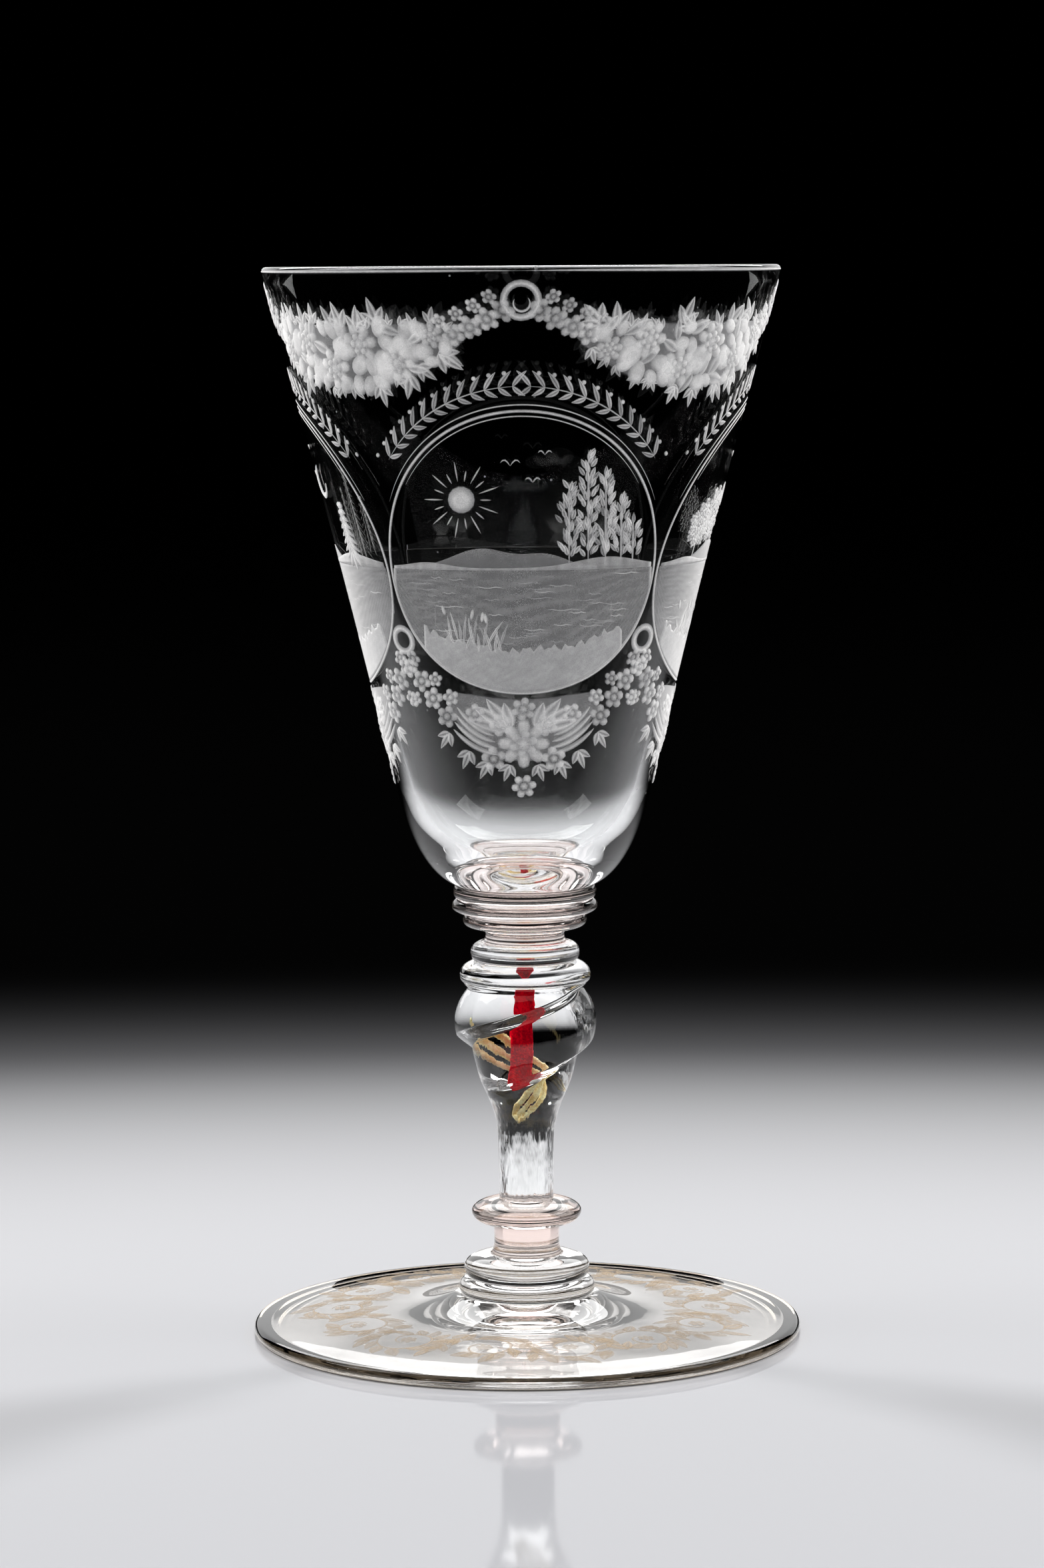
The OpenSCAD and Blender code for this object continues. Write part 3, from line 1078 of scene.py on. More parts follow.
# Section of a cut from edge to edge: share of the half width, share of the depth, and tone; the tone is the
# frost's depth with painted relief shade, darker at the edges and in a vein, lighter on the ridges
Section = tuple[tuple[float, float, float], ...]
GROOVE: Section = ((-1.0, 0.0, 0.3), (0.0, 1.0, 1.0), (1.0, 0.0, 0.3))
VEINED: Section = ((-1.0, 0.0, 0.25), (-0.55, 1.0, 1.0), (0.0, 0.5, 0.4), (0.55, 1.0, 1.0),
                   (1.0, 0.0, 0.25))
GROUND: Section = ((-1.0, 0.0, 0.15), (-0.85, 1.0, 0.4), (0.0, 1.0, 0.45), (0.85, 1.0, 0.4),
                   (1.0, 0.0, 0.15))
# Rings of a round cut, from its edge inwards: share of the radius, share of the depth, and tone; the tone
# carries painted relief shade, darker at the edge and round a flower's middle, lighter on the crest
FRUIT: Section = ((1.0, 0.0, 0.2), (0.86, 0.7, 0.65), (0.5, 1.0, 1.0))
BLOSSOM: Section = ((1.0, 0.0, 0.2), (0.86, 0.75, 0.9), (0.58, 0.95, 1.0), (0.34, 0.35, 0.3),
                    (0.24, 0.6, 0.6))
# How deep the edges of a cut lie below the surface of the glass, in millimetres
SINK = 0.03
# Slot of the faces that close a cut on the glass's side
INSIDE_SLOT = 1
# Depth of the rings that the festoons hang from
RING_LIFT = 0.22
# Azimuths of the bowl's four quarters, and from one of them half way to the next
QUARTERS = (0, 90, 180, 270)
HALF_WAY = 45
# Steps along a leaf
LEAF_STEPS = 7
# Share of a length up the bowl's wall that it gains in height
STEEP = 0.97


class Sheet(ABC):
    """A flat drawing that is wrapped onto the glass: x runs to the right and y up it, in millimetres."""

    @abstractmethod
    def point(self, x: float, y: float, lift: float) -> Vector:
        """Point on the glass for a place on the sheet, raised by lift."""


@dataclass
class BowlSheet(Sheet):
    """A drawing on the outside of the bowl.

    Attributes:
        bowl: The bowl.
        azimuth: Where the drawing's middle faces, in degrees to the right of the front.
        height: Height of its middle.
    """

    bowl: Bowl
    azimuth: float
    height: float

    def point(self, x: float, y: float, lift: float) -> Vector:
        """Point on the bowl's wall.

        Args:
            x: Distance to the right on the sheet.
            y: Distance up it.
            lift: Distance off the glass.

        Returns:
            The point.
        """
        height = self.height + y * STEEP
        radius, slope = along(self.bowl.outer, height, 1)
        angle = math.radians(self.azimuth - 90) + x / radius
        out = lift / math.hypot(1, slope)
        far = radius + out
        return Vector((far * math.cos(angle), far * math.sin(angle), height - slope * out))


@dataclass
class FootSheet(Sheet):
    """A drawing on the upper face of the foot, its top towards the stem.

    Attributes:
        foot: The foot.
        azimuth: Where the drawing's middle faces, in degrees to the right of the front.
        radius: Radius of its middle.
    """

    foot: Foot
    azimuth: float
    radius: float

    def point(self, x: float, y: float, lift: float) -> Vector:
        """Point on the foot's upper face.

        Args:
            x: Distance to the right on the sheet.
            y: Distance up it.
            lift: Distance off the glass.

        Returns:
            The point.
        """
        radius = self.radius - y
        height, slope = along(self.foot.upper, radius, 0)
        angle = math.radians(self.azimuth - 90) + x / radius
        up = lift / math.hypot(1, slope)
        out = radius - slope * up
        return Vector((out * math.cos(angle), out * math.sin(angle), height + up))


@dataclass(frozen=True)
class Spot:
    """Where a motif stands on its sheet, and how it is turned in degrees."""

    x: float
    y: float
    turn: float = 0.0

    def at(self, ahead: float, aside: float) -> tuple[float, float]:
        """Place on the sheet at a distance ahead of the motif's root and to its left."""
        turn = math.radians(self.turn)
        return (self.x + ahead * math.cos(turn) - aside * math.sin(turn),
                self.y + ahead * math.sin(turn) + aside * math.cos(turn))


class Relief(Draft):
    """Wheel-cut motifs on the glass, each a thin closed lens with a matt face."""

    def __init__(self, seed: int) -> None:
        """Start with an empty drawing.

        Args:
            seed: Start of its run of chance.
        """
        super().__init__()
        self.chance = random.Random(seed)
        self.sheet: Sheet | None = None
        self.tone = 1.0

    def vary(self, least: float = 0.7) -> None:
        """Choose the tone of the motifs that follow."""
        self.tone = self.chance.uniform(least, 1.0)

    def lay(self, x: float, y: float, lift: float, cut: float) -> int:
        """Add a corner at a place on the sheet."""
        return self.corner(self.sheet.point(x, y, lift - SINK), cut * self.tone)

    def band(self, path: Outline, halves: Sequence[float], section: Section, lift: float,
             closed: bool = False) -> None:
        """Cut a band along a path.

        Args:
            path: Points on the sheet.
            halves: Half width at each point.
            section: Section of the cut.
            lift: Its depth at its widest point.
            closed: Whether the path comes back to its start.
        """
        rows = []
        widest = max(halves)
        for i, (x, y) in enumerate(path):
            before = path[i - 1] if i or closed else path[i]
            after = path[(i + 1) % len(path)] if i + 1 < len(path) or closed else path[i]
            way = Vector((after[0] - before[0], after[1] - before[1])).normalized() * halves[i]
            deep = lift * (halves[i] / widest) ** 0.5
            rows.append([self.lay(x - way.y * share, y + way.x * share, deep * rise, cut)
                         for share, rise, cut in section])
        pairs = list(zip(rows, rows[1:]))
        if closed:
            pairs.append((rows[-1], rows[0]))
        else:
            self.face(rows[0])
            self.face(rows[-1][::-1])
        for first, second in pairs:
            for j in range(len(section) - 1):
                self.face((first[j], second[j], second[j + 1], first[j + 1]))
            self.face((first[0], first[-1], second[-1], second[0]), INSIDE_SLOT)

    def dome(self, spot: Spot, radii: tuple[float, float], rings: Section, lift: float,
             petals: int = 0) -> None:
        """Cut a round or lobed hollow.

        Args:
            spot: Its middle.
            radii: Its radius ahead and aside.
            rings: Its rings from the edge inwards.
            lift: Its depth.
            petals: Number of lobes, or 0 for a plain round.
        """
        columns = max(14, petals * 4)
        rows = []
        for share, rise, cut in rings:
            row = []
            for angle in turns(columns):
                lobe = abs(math.cos(angle * petals / 2)) ** 0.7
                grow = share * (1 - 0.3 * (1 - lobe) * min(1.0, share * 1.4))
                # Painted shade: the outer rings are darker between the petals.
                shade = 1.0 if share < 0.4 else 0.45 + 0.55 * lobe
                x, y = spot.at(radii[0] * grow * math.cos(angle), radii[1] * grow * math.sin(angle))
                row.append(self.lay(x, y, lift * rise * (0.6 + 0.4 * lobe), cut * shade))
            rows.append(row)
        for low, high in zip(rows, rows[1:]):
            self.skin(low, high)
        self.skin(rows[-1], [self.lay(spot.x, spot.y, lift, 1.0)])
        self.face(rows[0][::-1], INSIDE_SLOT)

    def fill(self, span: tuple[float, float], low: Callable[[float], float], high: Callable[[float], float],
             grid: tuple[int, int], lift: float, cut: Callable[[float, float], float]) -> None:
        """Matt a patch between two lines.

        Args:
            span: Its left and right end.
            low: Its lower line.
            high: Its upper line.
            grid: Columns and rows of faces.
            lift: Its depth.
            cut: Tone at a place.
        """
        columns, rows = grid
        face, back = [], []
        for i in range(columns + 1):
            x = span[0] + (span[1] - span[0]) * i / columns
            base, tall = low(x), max(0.05, high(x) - low(x))
            places = [(x, base + tall * j / rows) for j in range(rows + 1)]
            face.append([self.lay(*place, lift, cut(*place)) for place in places])
            back.append([self.lay(*place, 0.0, cut(*place)) for place in places])
        for i in range(columns):
            for j in range(rows):
                self.face((face[i][j], face[i + 1][j], face[i + 1][j + 1], face[i][j + 1]))
                self.face((back[i][j], back[i][j + 1], back[i + 1][j + 1], back[i + 1][j]), INSIDE_SLOT)
        edge = [(i, 0) for i in range(columns)] + [(columns, j) for j in range(rows)]
        edge += [(i, rows) for i in range(columns, 0, -1)] + [(0, j) for j in range(rows, 0, -1)]
        self.skin([back[i][j] for i, j in edge], [face[i][j] for i, j in edge])

    def line(self, path: Outline, wide: float, lift: float = 0.12) -> None:
        """Cut a line that thins out at both ends."""
        last = len(path) - 1
        halves = [wide / 2 * max(0.12, math.sin(math.pi * i / last) ** 0.5) for i in range(last + 1)]
        self.band(path, halves, GROOVE, lift)

    def hoop(self, spot: Spot, radius: float, wide: float, lift: float = 0.14) -> None:
        """Cut a ring."""
        path = arc((spot.x, spot.y), radius, 0, 360, max(20, int(radius * 5)))[:-1]
        self.band(path, [wide / 2] * len(path), GROOVE, lift, True)

    def leaf(self, spot: Spot, long: float, wide: float, lift: float = 0.16, bend: float = 0.0) -> None:
        """Cut a pointed leaf with a vein.

        Args:
            spot: Its root.
            long: Its length.
            wide: Its width.
            lift: Its depth.
            bend: How far its tip curls to the left.
        """
        steps = range(LEAF_STEPS + 1)
        path = [spot.at(long * i / LEAF_STEPS, bend * (i / LEAF_STEPS) ** 2) for i in steps]
        halves = [max(0.05, wide / 2 * math.sin(math.pi * (i / LEAF_STEPS) ** 0.8) ** 0.8) for i in steps]
        self.band(path, halves, VEINED, lift)

    def sprig(self, spot: Spot, size: float) -> None:
        """Cut three leaves on one stalk."""
        self.vary()
        for turn, share in ((-42, 0.74), (42, 0.74), (0, 1.0)):
            self.leaf(Spot(spot.x, spot.y, spot.turn + turn), size * share, size * 0.42)

    def fruit(self, spot: Spot, long: float, wide: float) -> None:
        """Cut a fruit or a berry."""
        self.vary()
        self.dome(spot, (long / 2, wide / 2), FRUIT, 0.28)

    def rosette(self, spot: Spot, radius: float, petals: int = 5, lift: float = 0.3) -> None:
        """Cut an open flower."""
        self.vary()
        self.dome(spot, (radius, radius), BLOSSOM, lift, petals)

    def engraved(self, name: str, frost: Engraving = FROST, inside: Engraving = FROST_INSIDE) -> None:
        """Make the piece from what has been cut."""
        self.piece(name, (frost, inside), "clear_glass")


@dataclass
class UpperFestoons:
    """Festoons of fruit and flowers below the rim, hung from four rings.

    Attributes:
        bowl: The bowl that they are cut on.
        ring_z: Height of the rings.
        ring_r: Radius at the middle of a ring's band.
        ring_w: Width of that band.
        hang_z: Height at which a festoon leaves its rings.
        span: Half its length.
        sag: How far its middle hangs.
        chain_t: Half thickness of the chain of flowers at its ends.
        swell: Further half thickness in its middle.
        reach: Half the length of that swelling.
        ground_tone: Tone of the matt ground behind the flowers.
        chain_x: Places of the chain's flowers.
        line_z: Height of the fine line below the rim.
    """

    bowl: Bowl
    ring_z: float = 184.3
    ring_r: float = 2.95
    ring_w: float = 1.35
    hang_z: float = 184.2
    span: float = 34.5
    sag: float = 9.8
    chain_t: float = 1.5
    swell: float = 5.4
    reach: float = 24.0
    ground_tone: float = 0.62
    chain_x: tuple[float, ...] = (22.0, 25.2, 28.4, 31.4)
    line_z: float = 189.2

    def middle(self, x: float) -> float:
        """Height of a festoon's middle line."""
        return -self.sag * (1 - (x / self.span) ** 2)

    def half(self, x: float) -> float:
        """Half its thickness."""
        return self.chain_t + self.swell * max(0.0, 1 - (abs(x) / self.reach) ** 2.6) ** 1.1

    def build(self) -> None:
        """Cut the rings, the festoons and the line below the rim."""
        rings, garland, line = Relief(3), Relief(5), Relief(7)
        for azimuth in QUARTERS:
            rings.sheet = BowlSheet(self.bowl, azimuth, self.ring_z)
            rings.hoop(Spot(0, 0), self.ring_r, self.ring_w, RING_LIFT)
            rings.line(arc((0.1, -0.5), 1.4, 150, 400, 18), 0.55)
            garland.sheet = BowlSheet(self.bowl, azimuth + HALF_WAY, self.hang_z)
            self.festoon(garland)
            line.sheet = BowlSheet(self.bowl, azimuth + HALF_WAY, self.line_z)
            line.tone = 0.9
            half = along(self.bowl.outer, self.line_z, 1)[0] * math.pi / 4
            line.line([(half * (i / 30 - 1), 0.0) for i in range(61)], 0.7, 0.05)
        rings.engraved("engraved_upper_rings")
        garland.engraved("engraved_upper_festoons")
        line.engraved("engraved_rim_line")

    def festoon(self, cut: Relief) -> None:
        """Cut one festoon: its matt ground, and what lies on it.

        Args:
            cut: Drawing to add to.
        """
        cut.tone = self.ground_tone
        places = [x * 0.8 for x in range(-36, 37)]
        cut.band([(x, self.middle(x)) for x in places], [self.half(x) * 0.84 for x in places], GROUND, 0.09)
        self.fringe(cut)
        self.blossoms(cut)
        self.fruits(cut)
        self.chains(cut)

    def fringe(self, cut: Relief) -> None:
        """Cut the sprigs that stand out above and below.

        Args:
            cut: Drawing to add to.
        """
        chance = cut.chance
        for side in (1, -1):
            for i in range(-8, 9):
                x = i * 2.6 + chance.uniform(-1.1, 1.1)
                root = self.middle(x) + side * (self.half(x) * 0.78 + chance.uniform(-1.0, 0.3))
                turn = side * (90 - x * 0.9) + chance.uniform(-48, 48)
                cut.sprig(Spot(x, root, turn), chance.uniform(2.0, 5.0))

    def blossoms(self, cut: Relief) -> None:
        """Cut the large flowers, and what fills the ground between them.

        Args:
            cut: Drawing to add to.
        """
        chance = cut.chance
        flowers = []
        for i in range(-5, 6, 2):
            x = i * 3.6
            y = self.middle(x) + self.half(x) * (0.34 if i % 4 == 1 else -0.3)
            flowers.append((x, y, 0.5 * self.half(x) + 0.5))
        for i in range(-8, 9):
            for row in (-0.8, -0.28, 0.28, 0.8):
                x = i * 2.7 + (1.3 if row in (-0.8, 0.28) else 0.0) + chance.uniform(-0.5, 0.5)
                y = self.middle(x) + row * (self.half(x) - 0.9) + chance.uniform(-0.5, 0.5)
                if abs(x) < 21 and all(math.hypot(x - fx, y - fy) > r * 0.9 for fx, fy, r in flowers):
                    self.filler(cut, Spot(x, y, chance.uniform(0, 360)), chance.uniform(3.0, 4.6))
        for x, y, radius in flowers:
            cut.rosette(Spot(x, y, chance.uniform(0, 60)), radius, 7, 0.36)
            cut.rosette(Spot(x, y, chance.uniform(0, 60)), radius * 0.55, 6, 0.46)

    def fruits(self, cut: Relief) -> None:
        """Cut the large fruits on top.

        Args:
            cut: Drawing to add to.
        """
        chance = cut.chance
        for i in range(-2, 3):
            x = i * 6.8 + chance.uniform(-1.6, 1.6)
            y = self.middle(x) + self.half(x) * chance.uniform(-0.55, 0.45)
            long = chance.uniform(4.8, 6.6)
            cut.fruit(Spot(x, y, chance.uniform(0, 180)), long, long * 0.82)

    def chains(self, cut: Relief) -> None:
        """Cut the chains of small flowers at both ends.

        Args:
            cut: Drawing to add to.
        """
        chance = cut.chance
        for side in (-1, 1):
            for x in self.chain_x:
                y = self.middle(x)
                cut.rosette(Spot(side * x, y + 0.1, chance.uniform(0, 70)), 2.2)
                cut.rosette(Spot(side * (x - 1.9), y + 2.4, chance.uniform(0, 70)), 1.45, lift=0.24)

    @staticmethod
    def filler(cut: Relief, spot: Spot, size: float) -> None:
        """Cut a fruit or a leaf among the flowers.

        Args:
            cut: Drawing to add to.
            spot: Its middle and turn.
            size: Its length.
        """
        if cut.chance.random() < 0.6:
            cut.fruit(spot, size, size * 0.74)
        else:
            cut.vary()
            x, y = spot.at(-size * 0.6, 0.0)
            cut.leaf(Spot(x, y, spot.turn), size * 1.2, size * 0.6, 0.3)


# Place and size of each sprig, and of each flower, on the right half of a lower festoon
LOWER_SPRIGS = ((9.6, -17.1, 3.6), (6.2, -19.1, 3.4), (13.4, -13.9, 3.5), (2.4, -19.5, 3.2))
LOWER_FLOWERS = (
    (13.8, -10.9, 2.2), (16.6, -7.7, 2.2), (19.0, -4.6, 2.2), (21.6, -2.4, 1.9), (24.0, -0.6, 1.6),
    (16.0, -4.2, 1.5), (13.0, -7.4, 1.7), (3.9, -12.2, 2.3), (5.2, -18.4, 2.4), (8.4, -10.2, 2.0),
    (20.6, -8.0, 1.6))
# Turn and length of each leaf there
LOWER_LEAVES = ((12, 7.5), (32, 8.0), (52, 7.0), (76, 5.0))
# Height, turn, radius, petals and depth of each flower in its middle
LOWER_MIDDLE = (
    (-9.3, 20, 2.3, 6, 0.3), (-15.6, 0, 4.7, 8, 0.38), (-15.6, 20, 2.7, 6, 0.5), (-23.4, 10, 2.3, 6, 0.3))


@dataclass
class LowerFestoons:
    """Short, deep festoons under the medallions, hung from rings between them.

    Attributes:
        bowl: The bowl that they are cut on.
        ring_z: Height of the rings.
        ring_r: Radius at the middle of a ring's band.
        ring_w: Width of that band.
        hang_z: Height at which a festoon leaves its rings.
        span: Half its length.
        sag: How far its middle hangs.
    """

    bowl: Bowl
    ring_z: float = 125.9
    ring_r: float = 2.1
    ring_w: float = 1.4
    hang_z: float = 123.3
    span: float = 22.5
    sag: float = 15.5

    def middle(self, x: float) -> float:
        """Height of a festoon's middle line."""
        return -self.sag * (1 - (abs(x) / self.span) ** 1.77)

    def build(self) -> None:
        """Cut the rings and the festoons."""
        rings, garland = Relief(11), Relief(13)
        for azimuth in QUARTERS:
            rings.sheet = BowlSheet(self.bowl, azimuth + HALF_WAY, self.ring_z)
            rings.hoop(Spot(0, 0), self.ring_r, self.ring_w, RING_LIFT)
            garland.sheet = BowlSheet(self.bowl, azimuth, self.hang_z)
            self.festoon(garland)
        rings.engraved("engraved_lower_rings")
        garland.engraved("engraved_lower_festoons")

    def festoon(self, cut: Relief) -> None:
        """Cut one festoon: its matt ground, both sides and the flowers in the middle.

        Args:
            cut: Drawing to add to.
        """
        cut.tone = 0.8
        places = [x * 0.7 for x in range(-19, 20)]
        halves = [0.5 + 5.4 * max(0.0, 1 - (x / 13.5) ** 2) ** 0.8 for x in places]
        cut.band([(x, self.middle(x) + 2.3) for x in places], halves, GROUND, 0.09)
        for side in (-1, 1):
            self.flank(cut, side)
        for y, turn, radius, petals, lift in LOWER_MIDDLE:
            cut.rosette(Spot(0, y, turn), radius, petals, lift)

    @staticmethod
    def flank(cut: Relief, side: int) -> None:
        """Cut the leaves, ribs, sprigs and flowers on one side of the middle.

        Args:
            cut: Drawing to add to.
            side: 1 for the right, -1 for the left.
        """
        chance = cut.chance
        for turn, long in LOWER_LEAVES:
            cut.vary()
            turn = turn if side > 0 else 180 - turn
            cut.leaf(Spot(side * 2.2, -13.0, turn), long, 2.9, 0.2)
        for k in range(4):
            cut.vary(0.8)
            start = Vector((side * (4.3 + 0.3 * k), -17.6 + 1.15 * k))
            end = Vector((side * (12.6 - 0.25 * k), -13.2 + 1.35 * k))
            dip = Vector((side * 8.6, -17.2 + 1.3 * k))
            path = [tuple((1 - t) ** 2 * start + 2 * t * (1 - t) * dip + t * t * end)
                    for t in (i / 10 for i in range(11))]
            cut.line(path, 1.1, 0.3)
        for x, y, size in LOWER_SPRIGS:
            turn = chance.uniform(-75, -50) if side > 0 else chance.uniform(-130, -105)
            cut.sprig(Spot(side * x, y, turn), size)
        for x, y, radius in LOWER_FLOWERS:
            cut.rosette(Spot(side * x, y, chance.uniform(0, 70)), radius)


class Season(Enum):
    """What a medallion shows, from the front round to the right."""

    SUMMER = "poplars by the water under a high sun"
    SPRING = "blossom under drifting clouds"
    AUTUMN = "sheaves before the hills"
    WINTER = "firs under the moon"


class Landscapes(Relief):
    """The drawing of the small landscapes in the medallions."""

    def __init__(self, seed: int, radius: float, shore: float) -> None:
        """Start with an empty drawing.

        Args:
            seed: Start of its run of chance.
            radius: Radius of the medallions' frame.
            shore: Height of the water's edge from a medallion's middle.
        """
        super().__init__(seed)
        self.radius = radius
        self.shore = shore

    def edge(self, x: float) -> float:
        """Height of the frame above or below the middle."""
        return math.sqrt(max(0.0, (self.radius - 0.2) ** 2 - x * x))

    def water(self) -> None:
        """Cut the still water and the near bank."""
        self.tone = 1.0
        wide = self.radius - 0.7
        self.fill((-wide, wide), lambda x: -self.edge(x), lambda x: self.shore, (64, 34), 0.05,
                  self.ripple)
        near = wide * 0.74
        self.fill((-near, near), lambda x: -self.edge(x), self.bank, (60, 12), 0.09,
                  lambda x, y: 0.56 + 0.06 * math.sin(5 * x + 9 * y) * math.sin(3 * x - 4 * y))
        for i in range(46):
            self.vary(0.35)
            y = self.shore - 0.9 - 12.5 * i / 46
            x = self.chance.uniform(-0.85, 0.85) * self.edge(y)
            long = self.chance.uniform(2.0, 7.0)
            wave = [(x + long * (k / 6 - 0.5), y + 0.12 * math.sin(k * 1.9)) for k in range(7)]
            self.line(wave, 0.26, 0.08)

    @staticmethod
    def ripple(x: float, y: float) -> float:
        """Tone of the water."""
        swell = 0.05 * math.sin(7.3 * y + 1.5 * math.sin(0.4 * x))
        return 0.36 + swell + 0.03 * math.sin(3.1 * y - 0.7 * x)

    def bank(self, x: float) -> float:
        """Ragged top of the near bank."""
        rough = 0.45 * math.sin(2.7 * x) + 0.35 * math.sin(6.1 * x + 1) + 0.25 * math.sin(11 * x)
        return max(-self.edge(x) + 0.1, -17.2 + 0.012 * x * x + rough)

    def landscape(self, season: Season) -> None:
        """Cut what stands beyond the water.

        Args:
            season: What it shows.
        """
        self.hills()
        self.reeds()
        self.birds()
        if season is Season.SUMMER:
            self.sun(Spot(-10.5, 9.5))
            for x, tall in ((8.0, 15.0), (11.4, 20.5), (14.6, 17.0), (17.6, 12.5), (20.0, 8.5)):
                self.poplar(x, tall)
        elif season is Season.SPRING:
            self.cloud(Spot(6.0, 14.0))
            self.cloud(Spot(-2.0, 8.5))
            for x, tall in ((-15.0, 9.0), (-9.5, 11.0), (13.0, 9.5)):
                self.blossom(x, tall)
        elif season is Season.AUTUMN:
            self.cloud(Spot(-6.0, 13.0))
            for x, tall in ((-16.0, 6.0), (-11.5, 7.0), (-7.0, 6.0), (12.0, 6.5), (16.0, 5.5)):
                self.sheaf(x, tall)
        else:
            self.line(arc((8.5, 12.0), 2.8, 110, 350, 24), 1.3, 0.24)
            for x, tall in ((-17.0, 10.0), (-12.5, 15.5), (-8.0, 12.0), (15.5, 11.0)):
                self.fir(x, tall)

    def hills(self) -> None:
        """Cut the low hills on the far shore."""
        self.tone = 0.85
        far, near = ((3.4, -7, 7), (2.2, 4, 5)), ((1.8, 15, 8), (0.9, -17, 5))
        self.fill((-22.5, 13.0), lambda x: self.shore, lambda x: self.ridge(x, 0.5, far), (44, 5), 0.06,
                  lambda x, y: 0.3 + 0.035 * (y - self.shore))
        self.fill((-24.2, 24.2), lambda x: self.shore, lambda x: self.ridge(x, 0.4, near), (50, 3), 0.1,
                  lambda x, y: 0.6 + 0.08 * math.sin(4 * x))

    def ridge(self, x: float, least: float, humps: Iterable[tuple[float, float, float]]) -> float:
        """Height of a row of hills, each with its height, middle and half width, over a least height."""
        rises = (tall * math.exp(-((x - middle) / wide) ** 2) for tall, middle, wide in humps)
        return sum(rises, self.shore + least)

    def reeds(self) -> None:
        """Cut reeds on the near bank."""
        for i in range(17):
            self.vary(0.6)
            x = -12.5 + 0.55 * i + self.chance.uniform(-0.3, 0.3)
            turn = 90 + self.chance.uniform(-24, 24)
            long, bend = self.chance.uniform(3.0, 6.5), self.chance.uniform(-1, 1)
            self.leaf(Spot(x, self.bank(x) - 0.6, turn), long, 0.6, 0.15, bend)
            if i % 4 == 1:
                x, y = Spot(x, self.bank(x), turn).at(6.0, 0.0)
                self.dome(Spot(x, y, turn), (1.0, 0.34), FRUIT, 0.18)

    def birds(self) -> None:
        """Cut a few distant birds."""
        self.tone = 0.9
        for x, y, size in ((-2.0, 15.5, 1.7), (1.8, 12.6, 1.3), (3.9, 17.4, 1.2)):
            for side in (-1, 1):
                wing = [(x + side * size * t, y + size * (0.62 * math.sin(2.6 * t)))
                        for t in (0, 0.25, 0.5, 0.75, 1)]
                self.line(wing, 0.34)

    def sun(self, spot: Spot) -> None:
        """Cut the sun and its rays.

        Args:
            spot: Its middle.
        """
        self.tone = 0.9
        self.dome(spot, (2.5, 2.5), FRUIT, 0.2)
        for i in range(18):
            ray = Spot(spot.x, spot.y, i * 20)
            long = 6.8 if i % 2 else 5.2
            self.line([ray.at(3.3 + (long - 3.3) * k / 4, 0) for k in range(5)], 0.36, 0.12)

    def poplar(self, x: float, tall: float) -> None:
        """Cut a slim poplar of many small leaves.

        Args:
            x: Where it stands.
            tall: Its height.
        """
        foot = self.shore + 0.6
        self.tone = 0.75
        self.line([(x, foot + tall * k / 8) for k in range(9)], 0.6, 0.16)
        for i in range(int(tall * 3)):
            share = (i + 0.5) / int(tall * 3)
            wide = 1.9 * math.sin(math.pi * (0.12 + 0.88 * share)) ** 0.7
            self.vary(0.5)
            off = self.chance.uniform(-1, 1)
            lean = 90 - 42 * off
            self.leaf(Spot(x + off * wide * 0.7, foot + 1.6 + (tall - 2.6) * share, lean), 1.9, 0.95, 0.2)

    def blossom(self, x: float, tall: float) -> None:
        """Cut a spreading tree in flower.

        Args:
            x: Where it stands.
            tall: Its height.
        """
        foot = self.shore + 0.6
        self.tone = 0.75
        for lean in (-24, 0, 22):
            fork = Spot(x, foot + tall * 0.35, 90 + lean)
            self.line([(x, foot), *(fork.at(tall * 0.4 * k / 5, 0) for k in range(6))], 0.8, 0.2)
        for i in range(34):
            way = Spot(x, foot + tall * 0.72, i * 137.5)
            px, py = way.at(tall * 0.42 * math.sqrt((i + 0.5) / 34), 0)
            self.rosette(Spot(px, py, i * 40), self.chance.uniform(0.75, 1.15), 5, 0.22)

    def sheaf(self, x: float, tall: float) -> None:
        """Cut a bound sheaf of corn.

        Args:
            x: Where it stands.
            tall: Its height.
        """
        foot = self.shore + 0.3
        for i in range(-6, 7):
            self.vary(0.6)
            tip = Spot(x + i * 0.12, foot + tall * 0.42, 90 - i * 7)
            low = Spot(x + i * 0.12, foot + tall * 0.42, -90 + i * 5)
            self.line([low.at(tall * 0.42 * (1 - k / 4), 0) for k in range(5)], 0.4, 0.15)
            self.leaf(tip, tall * 0.6, 0.8, 0.2)
        self.line([(x + 1.1 * (k / 4 - 1), foot + tall * 0.42) for k in range(9)], 0.6, 0.3)

    def fir(self, x: float, tall: float) -> None:
        """Cut a fir of drooping boughs.

        Args:
            x: Where it stands.
            tall: Its height.
        """
        foot = self.shore + 0.4
        self.tone = 0.75
        self.line([(x, foot + tall * k / 8) for k in range(9)], 0.6, 0.18)
        tiers = int(tall * 0.8)
        for i in range(tiers):
            share = i / tiers
            for lean in (-1, -0.55, 0, 0.55, 1):
                self.vary(0.55)
                root = Spot(x, foot + 1.4 + (tall - 1.4) * share + 1.0, -90 + lean * 62)
                self.leaf(root, (1 - share) * tall * 0.26 + 0.9, 0.9, 0.2)

    def cloud(self, spot: Spot) -> None:
        """Cut a cloud of rounded billows.

        Args:
            spot: Its middle.
        """
        self.tone = 0.5
        for dx, dy, size in ((-3.2, 0, 2.2), (-1.2, 0.9, 2.8), (1.4, 0.6, 2.6), (3.4, -0.1, 2.0),
                             (0, -0.5, 2.4)):
            self.dome(Spot(spot.x + dx, spot.y + dy), (size, size * 0.62), FRUIT, 0.14)


